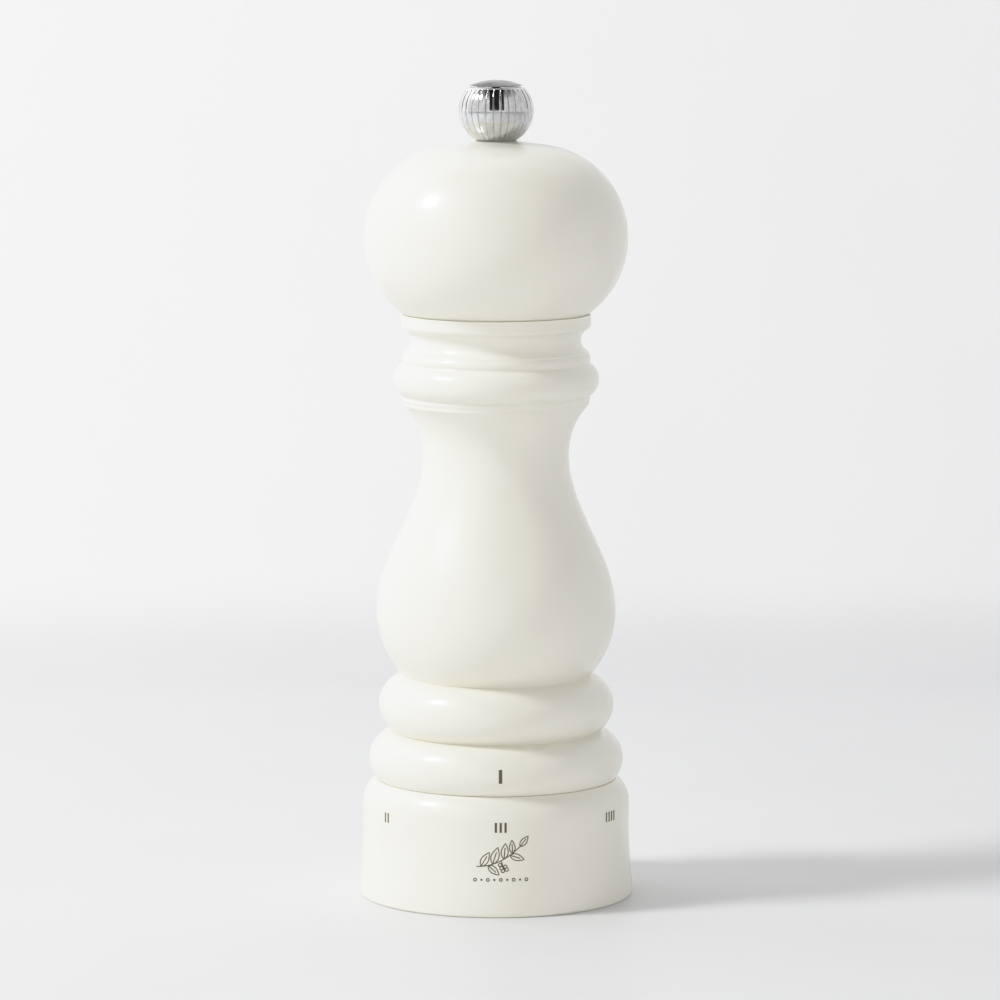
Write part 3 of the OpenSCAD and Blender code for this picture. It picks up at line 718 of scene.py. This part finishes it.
def knob_outline():
    """Outside of the knob from its flat foot to its rim: one round below its widest
    height and a tighter one above it."""
    def side(end_r, end_z):
        """The round from the knob's widest point to one of its ends."""
        out = KNOB["r"] - end_r
        up = abs(end_z - KNOB["mid"])
        size = (out ** 2 + up ** 2) / (2 * out)
        return (KNOB["r"] - size, KNOB["mid"]), size, np.degrees(np.arcsin(up / size))

    centre, size, turn = side(KNOB["foot"], KNOB_SEAT)
    below = arc(centre, size, -turn, 0, 24)
    centre, size, turn = side(KNOB["rim"] + 0.1, KNOB["top"])
    return below + arc(centre, size, 0, turn, 22)[1:]


def fluted_knob():
    """The chromed knob: one flute is made and copied round the axis."""
    outside = knob_outline()
    pitch = 2 * pi / FLUTES
    groove_top, groove_depth, crown = CAP_SEAT - 0.6, 0.3, 0.3
    shares = [-0.5, -0.47, -0.44, -0.4, -0.3, -0.15, 0, 0.15, 0.3, 0.4, 0.44, 0.47, 0.5]

    def fluted(r, z, angle):
        """Sinks a narrow groove between gently crowned flutes."""
        if r < KNOB["foot"] - 0.01 or z > groove_top:
            return r, z, angle
        share = abs(angle / pitch)
        groove = min(max((share - 0.4) / 0.1, 0), 1)
        ends = min(1, (groove_top - z) / 0.5, max(z - KNOB_SEAT, 0) / 0.4)
        return r - ends * (groove_depth * groove ** 1.3 + crown * share ** 2), z, angle

    bore_r, bore_top = STUD_R + 0.05, KNOB_SEAT + 8.8
    peg_r, peg_floor = 3.25, CAP_SEAT - 1.65
    rim_r, top = KNOB["rim"] - 0.6, KNOB["top"]
    loop = ([(0, bore_top), (bore_r, bore_top), (bore_r, KNOB_SEAT + 0.2),
             (bore_r + 0.2, KNOB_SEAT)] + outside[:-1]
            + rounded([(KNOB["rim"] + 0.1, top - 0.12), (KNOB["rim"] + 0.02, top),
                       (rim_r, top), (rim_r, CAP_SEAT), (peg_r, CAP_SEAT),
                       (peg_r, peg_floor), (0, peg_floor)], 0.08))
    sector = revolve("knob_fluted", [(loop, CHROME)],
                     angles=[pitch * s for s in shares], shape=fluted)
    return ring_of(sector, FLUTES, 360 / FLUTES, 0, CHROME, weld=0.002)


def polished_cap():
    """The domed disc with the peg that holds it in the knob."""
    edge_r = KNOB["rim"] - 0.15
    rise = MILL_TOP - CAP_SEAT
    size = (KNOB["rim"] ** 2 + rise ** 2) / (2 * rise)
    turn = np.degrees(np.arccos(edge_r / size))
    dome = arc((0, MILL_TOP - size), size, turn, 90, 28)
    peg = low("knob_cap")
    under = CAP_SEAT + 0.05
    loop = rounded([(0, peg), (3.2, peg), (3.2, under), (edge_r, under), dome[0], dome[1]],
                   0.08)
    return revolve("knob_cap_polished", [(loop[:-1] + dome[1:-1] + [(0, MILL_TOP)], CAP_METAL_PAINTED_DARK)])


def threads(start, end, pitch, depth):
    """Shapes a stretch of a rod as a screw thread that fades out at its ends."""
    def shape(r, z, angle):
        if not start < z < end:
            return r, z, angle
        turn = (z / pitch - angle / (2 * pi)) % 1
        fade = min(1, (z - start) / pitch, (end - z) / pitch)
        return r - fade * depth * abs(2 * turn - 1), z, angle
    return shape


def thread_rows(r, start, end, pitch, per_turn=6):
    """Outline points close enough together to hold a thread."""
    return slope(r, start, r, end, round((end - start) / pitch * per_turn))


def threaded_stud():
    """The M6 stud that the knob screws on to."""
    bottom, top = low("head_stud"), high("head_stud")
    r = STUD_R - 0.02
    pitch = 1.0
    loop = ([(0, bottom), (r - 0.4, bottom)] + thread_rows(r, bottom + 0.4, top - 0.6, pitch)
            + [(r - 0.55, top), (0, top)])
    return revolve("head_stud_threaded", [(loop, PLATED)], columns=48,
                   shape=threads(bottom + 0.3, top - 0.5, pitch, 0.5))


# ---------------- screws

def cross_cutter(arm, half_width, depth):
    """Tapered cross that leaves a screwdriver recess."""
    shell = bmesh.new()
    outline = [(arm, -half_width), (arm, half_width), (half_width, half_width)]
    rings = []
    for shrink, z in ((1.1, -0.1), (0.42, depth)):
        ring = []
        for quarter in range(4):
            turn = Matrix.Rotation(quarter * pi / 2, 2)
            for x, y in outline:
                p = turn @ Vector((x * shrink, y * (0.5 + shrink / 2)))
                ring.append(shell.verts.new((p.x * MM, p.y * MM, z * MM)))
        rings.append(ring)
    shell.faces.new(rings[0])
    shell.faces.new(rings[1])
    for i in range(12):
        j = (i + 1) % 12
        shell.faces.new((rings[0][i], rings[0][j], rings[1][j], rings[1][i]))
    return mesh_object("cutter", shell, [])


def cross_screw(name, finish, head_r, head_h, shank_r, length, sunk=False):
    """Cross-recessed screw, its head's flat face down at z = 0 and its shank above."""
    edge = 0.12
    head = [(0, 0), (head_r - edge, 0), (head_r, edge)]
    if sunk:
        head += [(head_r, edge + 0.05), (shank_r, head_h)]
    else:
        head += [(head_r, head_h - edge / 2), (head_r - edge / 2, head_h),
                 (shank_r, head_h)]
    pitch = shank_r * 0.8
    start, end = head_h + 0.5, length - shank_r
    loop = (head + thread_rows(shank_r, start, end, pitch)
            + [(shank_r * 0.15, length - 0.05), (0, length)])
    screw = revolve(name, [(loop, finish)], columns=30,
                    shape=threads(start, end, pitch, shank_r * 0.22))
    cutter = cross_cutter(head_r * 0.58, head_r * 0.13, min(head_h, head_r) * 0.75)
    cut = screw.modifiers.new("recess", "BOOLEAN")
    cut.operation = "DIFFERENCE"
    cut.solver = "EXACT"
    cut.object = cutter
    settled(screw)
    bpy.data.objects.remove(cutter)
    screw.data.set_sharp_from_angle(angle=radians(35))
    return screw


def screw_ring(name, radius, seat, flip=False, **sizes):
    """Three screws round the axis, their heads' flat faces at the seat's height."""
    screw = cross_screw(name, PLATED, **sizes)
    moved(screw, radius, 0, seat, flip)
    return ring_of(screw, SCREW_COUNT, SCREW_STEP, SCREW_PHASE, PLATED)


# ---------------- mechanism

def washer(name, node, inner_r, finish, edge=0.1):
    """A flat ring with broken edges, as large and as high as its CAD node."""
    outer_r, z0, z1 = high(node, 0), low(node), high(node)
    loop = rounded([
        (inner_r, (z0 + z1) / 2), (inner_r, z0), (outer_r, z0), (outer_r, z1),
        (inner_r, z1), (inner_r, (z0 + z1) / 2)], edge)
    return revolve(name, [(loop[:-1], finish)], columns=72)


def bearing_bush():
    """The flanged brass bush with its oil groove."""
    bottom, top = low("bridge_bush"), high("bridge_bush")
    inner_r, outer_r, flange_r = 3.05, 4.2, high("bridge_bush", 0)
    oil_z = (bottom + BRIDGE_TOP) / 2
    loop = rounded([
        (inner_r, oil_z), (inner_r, bottom), (outer_r, bottom),
        (outer_r, oil_z - 0.5), (outer_r - 0.15, oil_z), (outer_r, oil_z + 0.5),
        (outer_r, BRIDGE_TOP), (flange_r, BRIDGE_TOP), (flange_r, top),
        (inner_r, top), (inner_r, oil_z)], 0.18)
    return revolve("bearing_bush", [(loop[:-1], BRASS)], columns=96)


def spring_rivet():
    """The rivet that holds the click spring, its head below."""
    bottom, top = low("click_spring_rivet"), high("click_spring_rivet")
    head_r, head_top, shank_r = 0.95, bottom + 0.5, 0.6
    loop = rounded([(0, bottom), (0.7, bottom + 0.02), (head_r, bottom + 0.3),
                    (head_r, head_top), (shank_r, head_top), (shank_r, top), (0, top)], 0.12)
    rivet = revolve("spring_rivet", [(loop, PLATED)], columns=36)
    place = sum(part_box("click_spring_rivet"), Vector()) / 2 / MM
    return moved(rivet, place.x, place.y)


def wound_spring():
    """The rotor's compression spring, with closed ends."""
    wire, coil_r, turns = 0.43, 4.05, 7
    bottom, top = low("rotor_spring"), high("rotor_spring")
    host = new_object("rotor_spring_wound", bpy.data.meshes.new("rotor_spring_wound"))
    return grown(host, COIL, turns=float(turns), points=turns * 28, radius=coil_r * MM,
                 wire=wire * MM, low=(bottom + wire) * MM, high=(top - wire) * MM,
                 flat_share=0.9 / turns, finish=SPRING)


def rotor_row_twist(z):
    """Slant of the rotor's teeth below and of its feed flutes above, in radians."""
    teeth_top = ROTOR_BOTTOM + GRIND_H
    fine = min(z, teeth_top) - ROTOR_BOTTOM
    feed = max(z - teeth_top, 0)
    return fine * tan(TOOTH_SLANT) / 10 + feed * tan(FLUTE_SLANT) / 8


def toothed_rotor():
    """The grinding cone: fine saw teeth below, five feed flutes above."""
    bottom_r, top_r = 11.1, 6.2
    neck_r = bottom_r - GRIND_TAPER
    half_square, bore_limit = 2.1, 2.5
    tooth_depth, flute_depth, feed_flutes = 0.5, 2.1, 5
    teeth_top = ROTOR_BOTTOM + GRIND_H
    tooth = 2 * pi / ROTOR_TEETH

    def cut(r, z, angle):
        """Square hole inside; slanted teeth, then five deep feed flutes outside."""
        if r < bore_limit:
            return half_square / max(abs(cos(angle)), abs(sin(angle))), z, angle
        on_top = z > ROTOR_TOP - 0.01
        share = (r - bore_limit) / (top_r - bore_limit) if on_top else 1
        if z < ROTOR_BOTTOM + 0.01 and r < bottom_r - 1:
            return r, z, angle
        saw = (angle / tooth) % 1
        fine = tooth_depth * (1 - saw) * min(1, max(0, (teeth_top + 0.8 - z) / 0.8))
        fade_in = min(1, max(0, (z - ROTOR_BOTTOM - 3.5) / 4))
        feed = flute_depth * max(0, cos(feed_flutes / 2 * angle)) ** 4 * fade_in
        return r - share * (fine + feed), z, angle + rotor_row_twist(z) * share

    loop = ([(half_square, ROTOR_BOTTOM), (4, ROTOR_BOTTOM), (bottom_r - 1.2, ROTOR_BOTTOM)]
            + slope(bottom_r, ROTOR_BOTTOM, neck_r, teeth_top, 12)
            + slope(neck_r, teeth_top, top_r, ROTOR_TOP, 18)[1:]
            + slope(top_r, ROTOR_TOP, 2.8, ROTOR_TOP, 6)[1:]
            + [(half_square, ROTOR_TOP), (half_square, (ROTOR_TOP + ROTOR_BOTTOM) / 2)])
    return revolve("rotor_toothed", [(loop, GRINDER)], columns=ROTOR_TEETH * 8, shape=cut)


def toothed_stator():
    """The toothed ring round the rotor: one tooth is made and copied."""
    bottom, top = low("stator"), high("stator")
    outer_r, inner_r = high("stator", 0), 11.6
    throat = bottom + GRIND_H
    tooth = 2 * pi / STATOR_TEETH
    shares = [-0.5, -0.34, -0.18, 0, 0.16, 0.32, 0.46, 0.5]
    tooth_depth, crest = 0.42, 0.96

    def cut(r, z, angle):
        """Slanted saw teeth on the inner cone, fading out above the throat."""
        if r > inner_r + 0.9:
            return r, z, angle
        fade = min(1, max(0, (throat + 2 - z) / 2))
        saw = angle / tooth + 0.5
        depth = tooth_depth * (saw if saw < crest else (1 - saw) / (1 - crest) * crest)
        lean = tan(TOOTH_SLANT) / inner_r * (min(z, throat) - bottom) * fade
        return r + fade * depth, z, angle - lean

    throat_r = inner_r - GRIND_TAPER
    cone = slope(inner_r, bottom, throat_r, throat, 10)
    mouth = slope(throat_r, throat, throat_r + 2.8, top, 6)
    loop = ([(outer_r - 0.2, bottom), (outer_r, bottom + 0.2), (outer_r, top - 0.2),
             (outer_r - 0.2, top)] + mouth[::-1] + cone[::-1][1:])
    sector = revolve("stator_toothed", [(loop, GRINDER)],
                     angles=[tooth * s for s in shares], shape=cut)
    return ring_of(sector, STATOR_TEETH, 360 / STATOR_TEETH, 0, GRINDER, weld=0.002)


# ---------------- printed marks

def printed_bar(name, bar, radius_at):
    """One upright bar of ink on the front of a turned surface."""
    shell = bmesh.new()
    rows, sides = 10, ((-1, 1), (1, 1), (1, -1), (-1, -1))
    rings = []
    for i in range(rows + 1):
        z = bar["low"] + (bar["high"] - bar["low"]) * i / rows
        rings.append([shell.verts.new((x * bar["w"] / 2 * MM, y * 0.1 * MM, z * MM))
                      for x, y in sides])
    for first, second in zip(rings, rings[1:]):
        for j in range(4):
            k = (j + 1) % 4
            shell.faces.new((first[j], first[k], second[k], second[j]))
    shell.faces.new(rings[0])
    shell.faces.new(rings[-1][::-1])
    return wrapped(mesh_object(name, shell, [INK]), radius_at)


def pointer_mark():
    """The single bar on the body that the settings are read against."""
    return printed_bar("pointer_mark", POINTER, body_radius)


def one_piece(name, parts):
    """Joins pieces that share a body into one mesh."""
    shell = bmesh.new()
    for part in parts:
        shell.from_mesh(part.data)
        bpy.data.objects.remove(part)
    return mesh_object(name, shell, [INK])


def setting_marks():
    """One bar for the finest setting, two for the next, and so on round the base."""
    pitch = np.degrees(TALLY["pitch"] / BASE_R)
    groups = []
    for bars in range(1, SETTINGS + 1):
        bar = printed_bar("tally", TALLY, base_radius)
        turn = (bars - REST_SETTING) * SETTING_STEP
        groups.append(ring_of(bar, bars, pitch, turn, INK))
    return one_piece("setting_marks", groups)


def stroke_object(name, strokes, width):
    """Round-ended strokes drawn in x and z, each an open or closed row of points."""
    curve = bpy.data.curves.new(name, "CURVE")
    curve.dimensions = "3D"
    curve.bevel_depth = width / 2 * MM
    curve.bevel_resolution = 1
    curve.use_fill_caps = True
    for points, closed in strokes:
        spline = curve.splines.new("POLY")
        spline.points.add(len(points) - 1)
        for point, (x, z) in zip(spline.points, points):
            point.co = (x * MM, 0, z * MM, 1)
        spline.use_cyclic_u = closed
    piece = new_object(name, curve)
    graph = bpy.context.evaluated_depsgraph_get()
    mesh = bpy.data.meshes.new_from_object(piece.evaluated_get(graph))
    bpy.data.objects.remove(piece)
    return new_object(name, mesh)


def leaf(x, z, heading, length, width):
    """Outline of a pointed leaf and its midrib."""
    along = Vector((cos(heading), sin(heading)))
    across = Vector((-along.y, along.x))
    root = Vector((x, z))

    def side(sign):
        return [root + along * length * t + across * sign * width / 2 * sin(pi * t ** 0.8)
                for t in [i / 9 for i in range(10)]]

    outline = side(1) + side(-1)[-2:0:-1]
    rib = [root + along * length * t for t in (0, 0.25, 0.5, 0.72)]
    return [(outline, True), (rib, False)]


def circle(x, z, r):
    """Points of a closed circle."""
    return arc((x, z), r, 0, 345, 23)


def sprig_emblem():
    """A line drawing of a pepper sprig over a plain rule of dots."""
    def stem(t):
        """The stem bends from lower left to upper right."""
        return (-5.3 * (1 - t) ** 2 - 0.6 * t * (1 - t) + 4.2 * t ** 2,
                11.3 * (1 - t) ** 2 + 22.4 * t * (1 - t) + 15.6 * t ** 2)

    leaves = ((0.1, 1, 3.6), (0.26, -1, 3.2), (0.36, 1, 3.9), (0.62, 1, 3.5),
              (0.76, -1, 3.3), (0.82, 1, 2.9), (1, 0.12, 2.9))
    strokes = [([stem(i / 16) for i in range(17)], False)]
    for t, side, length in leaves:
        x, z = stem(t)
        ahead = stem(t + 0.02)
        heading = np.arctan2(ahead[1] - z, ahead[0] - x) + side * 0.95
        strokes += leaf(x, z, heading, length, length * 0.44)
    x, z = stem(0.55)
    stalk = [(x + 0.9 * t, z - 2.6 * t + 0.5 * t * t) for t in [i / 6 for i in range(7)]]
    strokes.append((stalk, False))
    for i, (sx, sz) in enumerate(stalk[2:]):
        strokes.append((circle(sx + (0.5 if i % 2 else -0.5), sz - 0.1, 0.36), True))
    dots, dot_step, rule_z = 9, 1.4, 8.4
    for i in range(dots):
        x = (i - (dots - 1) / 2) * dot_step
        strokes.append((circle(x, rule_z, 0.14 if i % 2 else 0.3), True))
    drawing = stroke_object("sprig_emblem", strokes, 0.27)
    drawing.data.materials.clear()
    drawing.data.materials.append(INK)
    drawing.data.shade_smooth()
    return wrapped(drawing, base_radius)


# ---------------- assembly

def fit(piece, body, slot, *nodes):
    """Gives a piece its body and hides the CAD nodes that it stands for.  The finish given as
    slot is not used.
    """
    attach(piece, body)
    if nodes:
        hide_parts(*nodes)


fit(wooden_body(), "mill_body", "ivory_lacquer", "body")
fit(wooden_head(), "head", "ivory_lacquer", "head")
fit(wooden_base(), "base", "ivory_lacquer", "base_ring")
fit(fluted_knob(), "knob", "chrome", "knob")
fit(polished_cap(), "knob_cap", "chrome", "knob_cap")
fit(threaded_stud(), "head", "plated_steel", "head_stud")

fit(screw_ring("adjuster_screw_set", ADJUSTER_SCREW_R, ADJUSTER_BOTTOM,
               head_r=1.5, head_h=0.6, shank_r=0.9, length=9, sunk=True),
    "base", "plated_steel", "adjuster_screws")
fit(screw_ring("housing_screw_set", HOUSING_SCREW_R, BODY_BOTTOM,
               head_r=1.7, head_h=0.6, shank_r=1.1, length=10, sunk=True),
    "mill_body", "plated_steel", "housing_screws")
fit(screw_ring("bridge_screw_set", BRIDGE_SCREW_R, BRIDGE_TOP + 1, flip=True,
               head_r=1.3, head_h=1, shank_r=0.7, length=7),
    "mill_body", "plated_steel", "bridge_screws")
fit(screw_ring("plate_screw_set", PLATE_SCREW_R, PLATE_BOTTOM - 1,
               head_r=1.5, head_h=1, shank_r=0.9, length=8),
    "head", "plated_steel", "drive_plate_screws")
fit(moved(cross_screw("rotor_screw_set", PLATED, head_r=2.7, head_h=1.6, shank_r=1.25,
                      length=9.6), z=low("rotor_screw")),
    "drive", "plated_steel", "rotor_screw")

fit(refined("mechanism_housing", "housing_moulded", NYLON), "mill_body", "black_nylon",
    "mechanism_housing")
fit(refined("bridge", "bridge_pressed", PLATED), "mill_body", "plated_steel", "bridge")
fit(refined("retaining_ring", "retaining_ring_pressed", SPRING, 0.1), "mill_body",
    "spring_steel", "retaining_ring")
fit(refined("click_spring", "click_spring_leaf", SPRING, 0.05), "mill_body",
    "spring_steel", "click_spring")
fit(bearing_bush(), "mill_body", "brass", "bridge_bush")
fit(spring_rivet(), "mill_body", "plated_steel", "click_spring_rivet")

fit(refined("drive_shaft", "drive_shaft_machined", SHAFT_STEEL, 0.18), "drive",
    "plated_steel", "drive_shaft")
fit(washer("thrust_washer_flat", "thrust_washer", 3.1, PLATED), "drive", "plated_steel",
    "thrust_washer")
fit(washer("rotor_washer_flat", "rotor_washer", 1.6, PLATED), "drive", "plated_steel",
    "rotor_washer")
fit(wound_spring(), "drive", "spring_steel", "rotor_spring")
fit(toothed_rotor(), "drive", "grinder_steel", "rotor")

fit(refined("drive_plate", "drive_plate_pressed", PLATED, 0.15), "head", "plated_steel",
    "drive_plate")
fit(toothed_stator(), "stator", "grinder_steel", "stator")
fit(refined("stator_carrier", "carrier_moulded", NYLON), "stator", "black_nylon",
    "stator_carrier")
fit(refined("adjuster_ring", "adjuster_moulded", NYLON), "base", "black_nylon",
    "adjuster_ring")

fit(pointer_mark(), "mill_body", "print_ink")
fit(setting_marks(), "base", "print_ink")
fit(sprig_emblem(), "base", "print_ink")


# ---------------- stage

def stage_finish():
    """Plain pale surface that is seen from its front only.  Its wall glows a little, more on
    the left: painted light on the wall.
    """
    material, tree, sockets = new_finish("pale_floor", (0.77, 0.77, 0.775), 0.45)
    clouds = spread(tree, noise(tree, (60, 60, 60), 3), 0, 1)
    place = tree.nodes.new("ShaderNodeTexCoord").outputs["Object"]
    axes = tree.nodes.new("ShaderNodeSeparateXYZ")
    tree.links.new(place, axes.inputs[0])
    wall = spread(tree, axes.outputs["Z"], 0, 1, 0.0, 0.03)
    # painted light: the wall glows, brighter on the left, as if the lamp on that side lit it
    painted_wall_light = spread(tree, axes.outputs["X"], 0.34, 0.2, -0.2, 0.2)
    feed(tree, sockets, Emission_Color=(1, 1, 1, 1),
         Emission_Strength=maths(tree, "MULTIPLY", wall, painted_wall_light),
         Base_Color=tinted(tree, clouds, (0.78, 0.78, 0.785), (0.765, 0.765, 0.772)))
    side = tree.nodes.new("ShaderNodeNewGeometry").outputs["Backfacing"]
    mix = tree.nodes.new("ShaderNodeMixShader")
    front = tree.nodes["Principled BSDF"].outputs[0]
    back = tree.nodes.new("ShaderNodeBsdfTransparent").outputs[0]
    for socket, value in zip(mix.inputs, (side, front, back)):
        tree.links.new(value, socket)
    tree.links.new(mix.outputs[0], tree.nodes["Material Output"].inputs[0])
    return material


def sweep_floor():
    """A floor that bends up into a wall behind the mill."""
    wall_y, bend, half_width, front_y, top = 0.321, 0.03, 2.5, -2.5, 1.8
    shell = bmesh.new()
    line = [(front_y, 0)] + arc((wall_y - bend, bend), bend, -90, 0, 12) + [(wall_y, top)]
    rows = [[shell.verts.new((x, y, z)) for x in (-half_width, half_width)] for y, z in line]
    for first, second in zip(rows, rows[1:]):
        shell.faces.new((first[0], first[1], second[1], second[0]))
    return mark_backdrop(mesh_object("floor", shell, [stage_finish()], closed=False))


def area_light(name, direction, distance, size, power, aim=0.09):
    """A round soft light that faces the mill from a direction."""
    data = bpy.data.lights.new(name, "AREA")
    data.shape = "DISK"
    data.size = size
    data.energy = power
    light = new_object(name, data)
    light.location = Vector(direction).normalized() * distance + Vector((0, 0, aim))
    light.rotation_mode = "QUATERNION"
    light.rotation_quaternion = Vector(direction).to_track_quat("Z", "Y")
    return light


def studio_light():
    """Soft room light from all round, but for a dark strip from the room in front of
    the mill to the ceiling over it."""
    world = bpy.data.worlds.new("studio")
    world.use_nodes = True
    bpy.context.scene.world = world
    tree = world.node_tree
    where = tree.nodes.new("ShaderNodeTexCoord").outputs["Generated"]
    axes = tree.nodes.new("ShaderNodeSeparateXYZ")
    tree.links.new(where, axes.inputs[0])
    x, y, z = axes.outputs
    across = maths(tree, "ABSOLUTE", maths(tree, "ADD", x, 0.02))
    strip = spread(tree, across, 1, 0, 0.3, 0.38)
    duller = spread(tree, x, 0, 0.2, 0.3, 0.7)
    raised = spread(tree, z, 0, 1, 0.0, 0.06)
    front = spread(tree, y, 1, 0, 0.1, 0.35)
    shade = maths(tree, "MULTIPLY", maths(tree, "MULTIPLY", strip, raised), front)
    ceiling = spread(tree, z, 0, 0.85, 0.5, 0.95)
    dark = maths(tree, "MAXIMUM", maths(tree, "MAXIMUM", shade, ceiling), duller)
    feed(tree, tree.nodes["Background"].inputs, Strength=0.9,
         Color=tinted(tree, dark, (1.0, 1.0, 1.0), (0.02, 0.02, 0.02)))
    key = area_light("key_light", (-0.72, -0.16, 0.67), 1.5, 0.36, 15.0)
    key.data.color = (0.97, 0.985, 1.0)
    fill = area_light("front_fill", (0.02, -1.0, 0.12), 1.4, 1.0, 5.2)
    fill.visible_glossy = False


def camera():
    """Long lens, a little above the mill and a hair to its left."""
    data = bpy.data.cameras.new("camera")
    data.lens = 189.4
    data.sensor_width = 36
    data.clip_end = 20
    eye = new_object("camera", data)
    turn, aim_side, aim_height = radians(-2), 0.87 * MM, 87.6 * MM
    distance, rise = 1.15, 0.1424
    right = Vector((cos(turn), sin(turn), 0))
    back = Vector((sin(turn), -cos(turn), 0))
    aim = right * aim_side + Vector((0, 0, aim_height))
    eye.location = aim + back * distance + Vector((0, 0, rise))
    eye.rotation_mode = "QUATERNION"
    eye.rotation_quaternion = (aim - eye.location).to_track_quat("-Z", "Y")
    bpy.context.scene.camera = eye


def bright_tones():
    """Plain colours, with a soft shoulder so that the lit side keeps its shape."""
    view = bpy.context.scene.view_settings
    view.view_transform = "Standard"
    view.use_curve_mapping = True
    tones = view.curve_mapping
    white = 1.5
    tones.white_level = (white, white, white)
    points = tones.curves[3].points
    points[0].location = (0, 0)
    points[-1].location = (1, 0.95)
    for light, shown in ((0.6, 0.6), (0.8, 0.775), (1.0, 0.875), (1.2, 0.92)):
        points.new(light / white, shown)
    tones.update()


sweep_floor()
studio_light()
camera()
bright_tones()
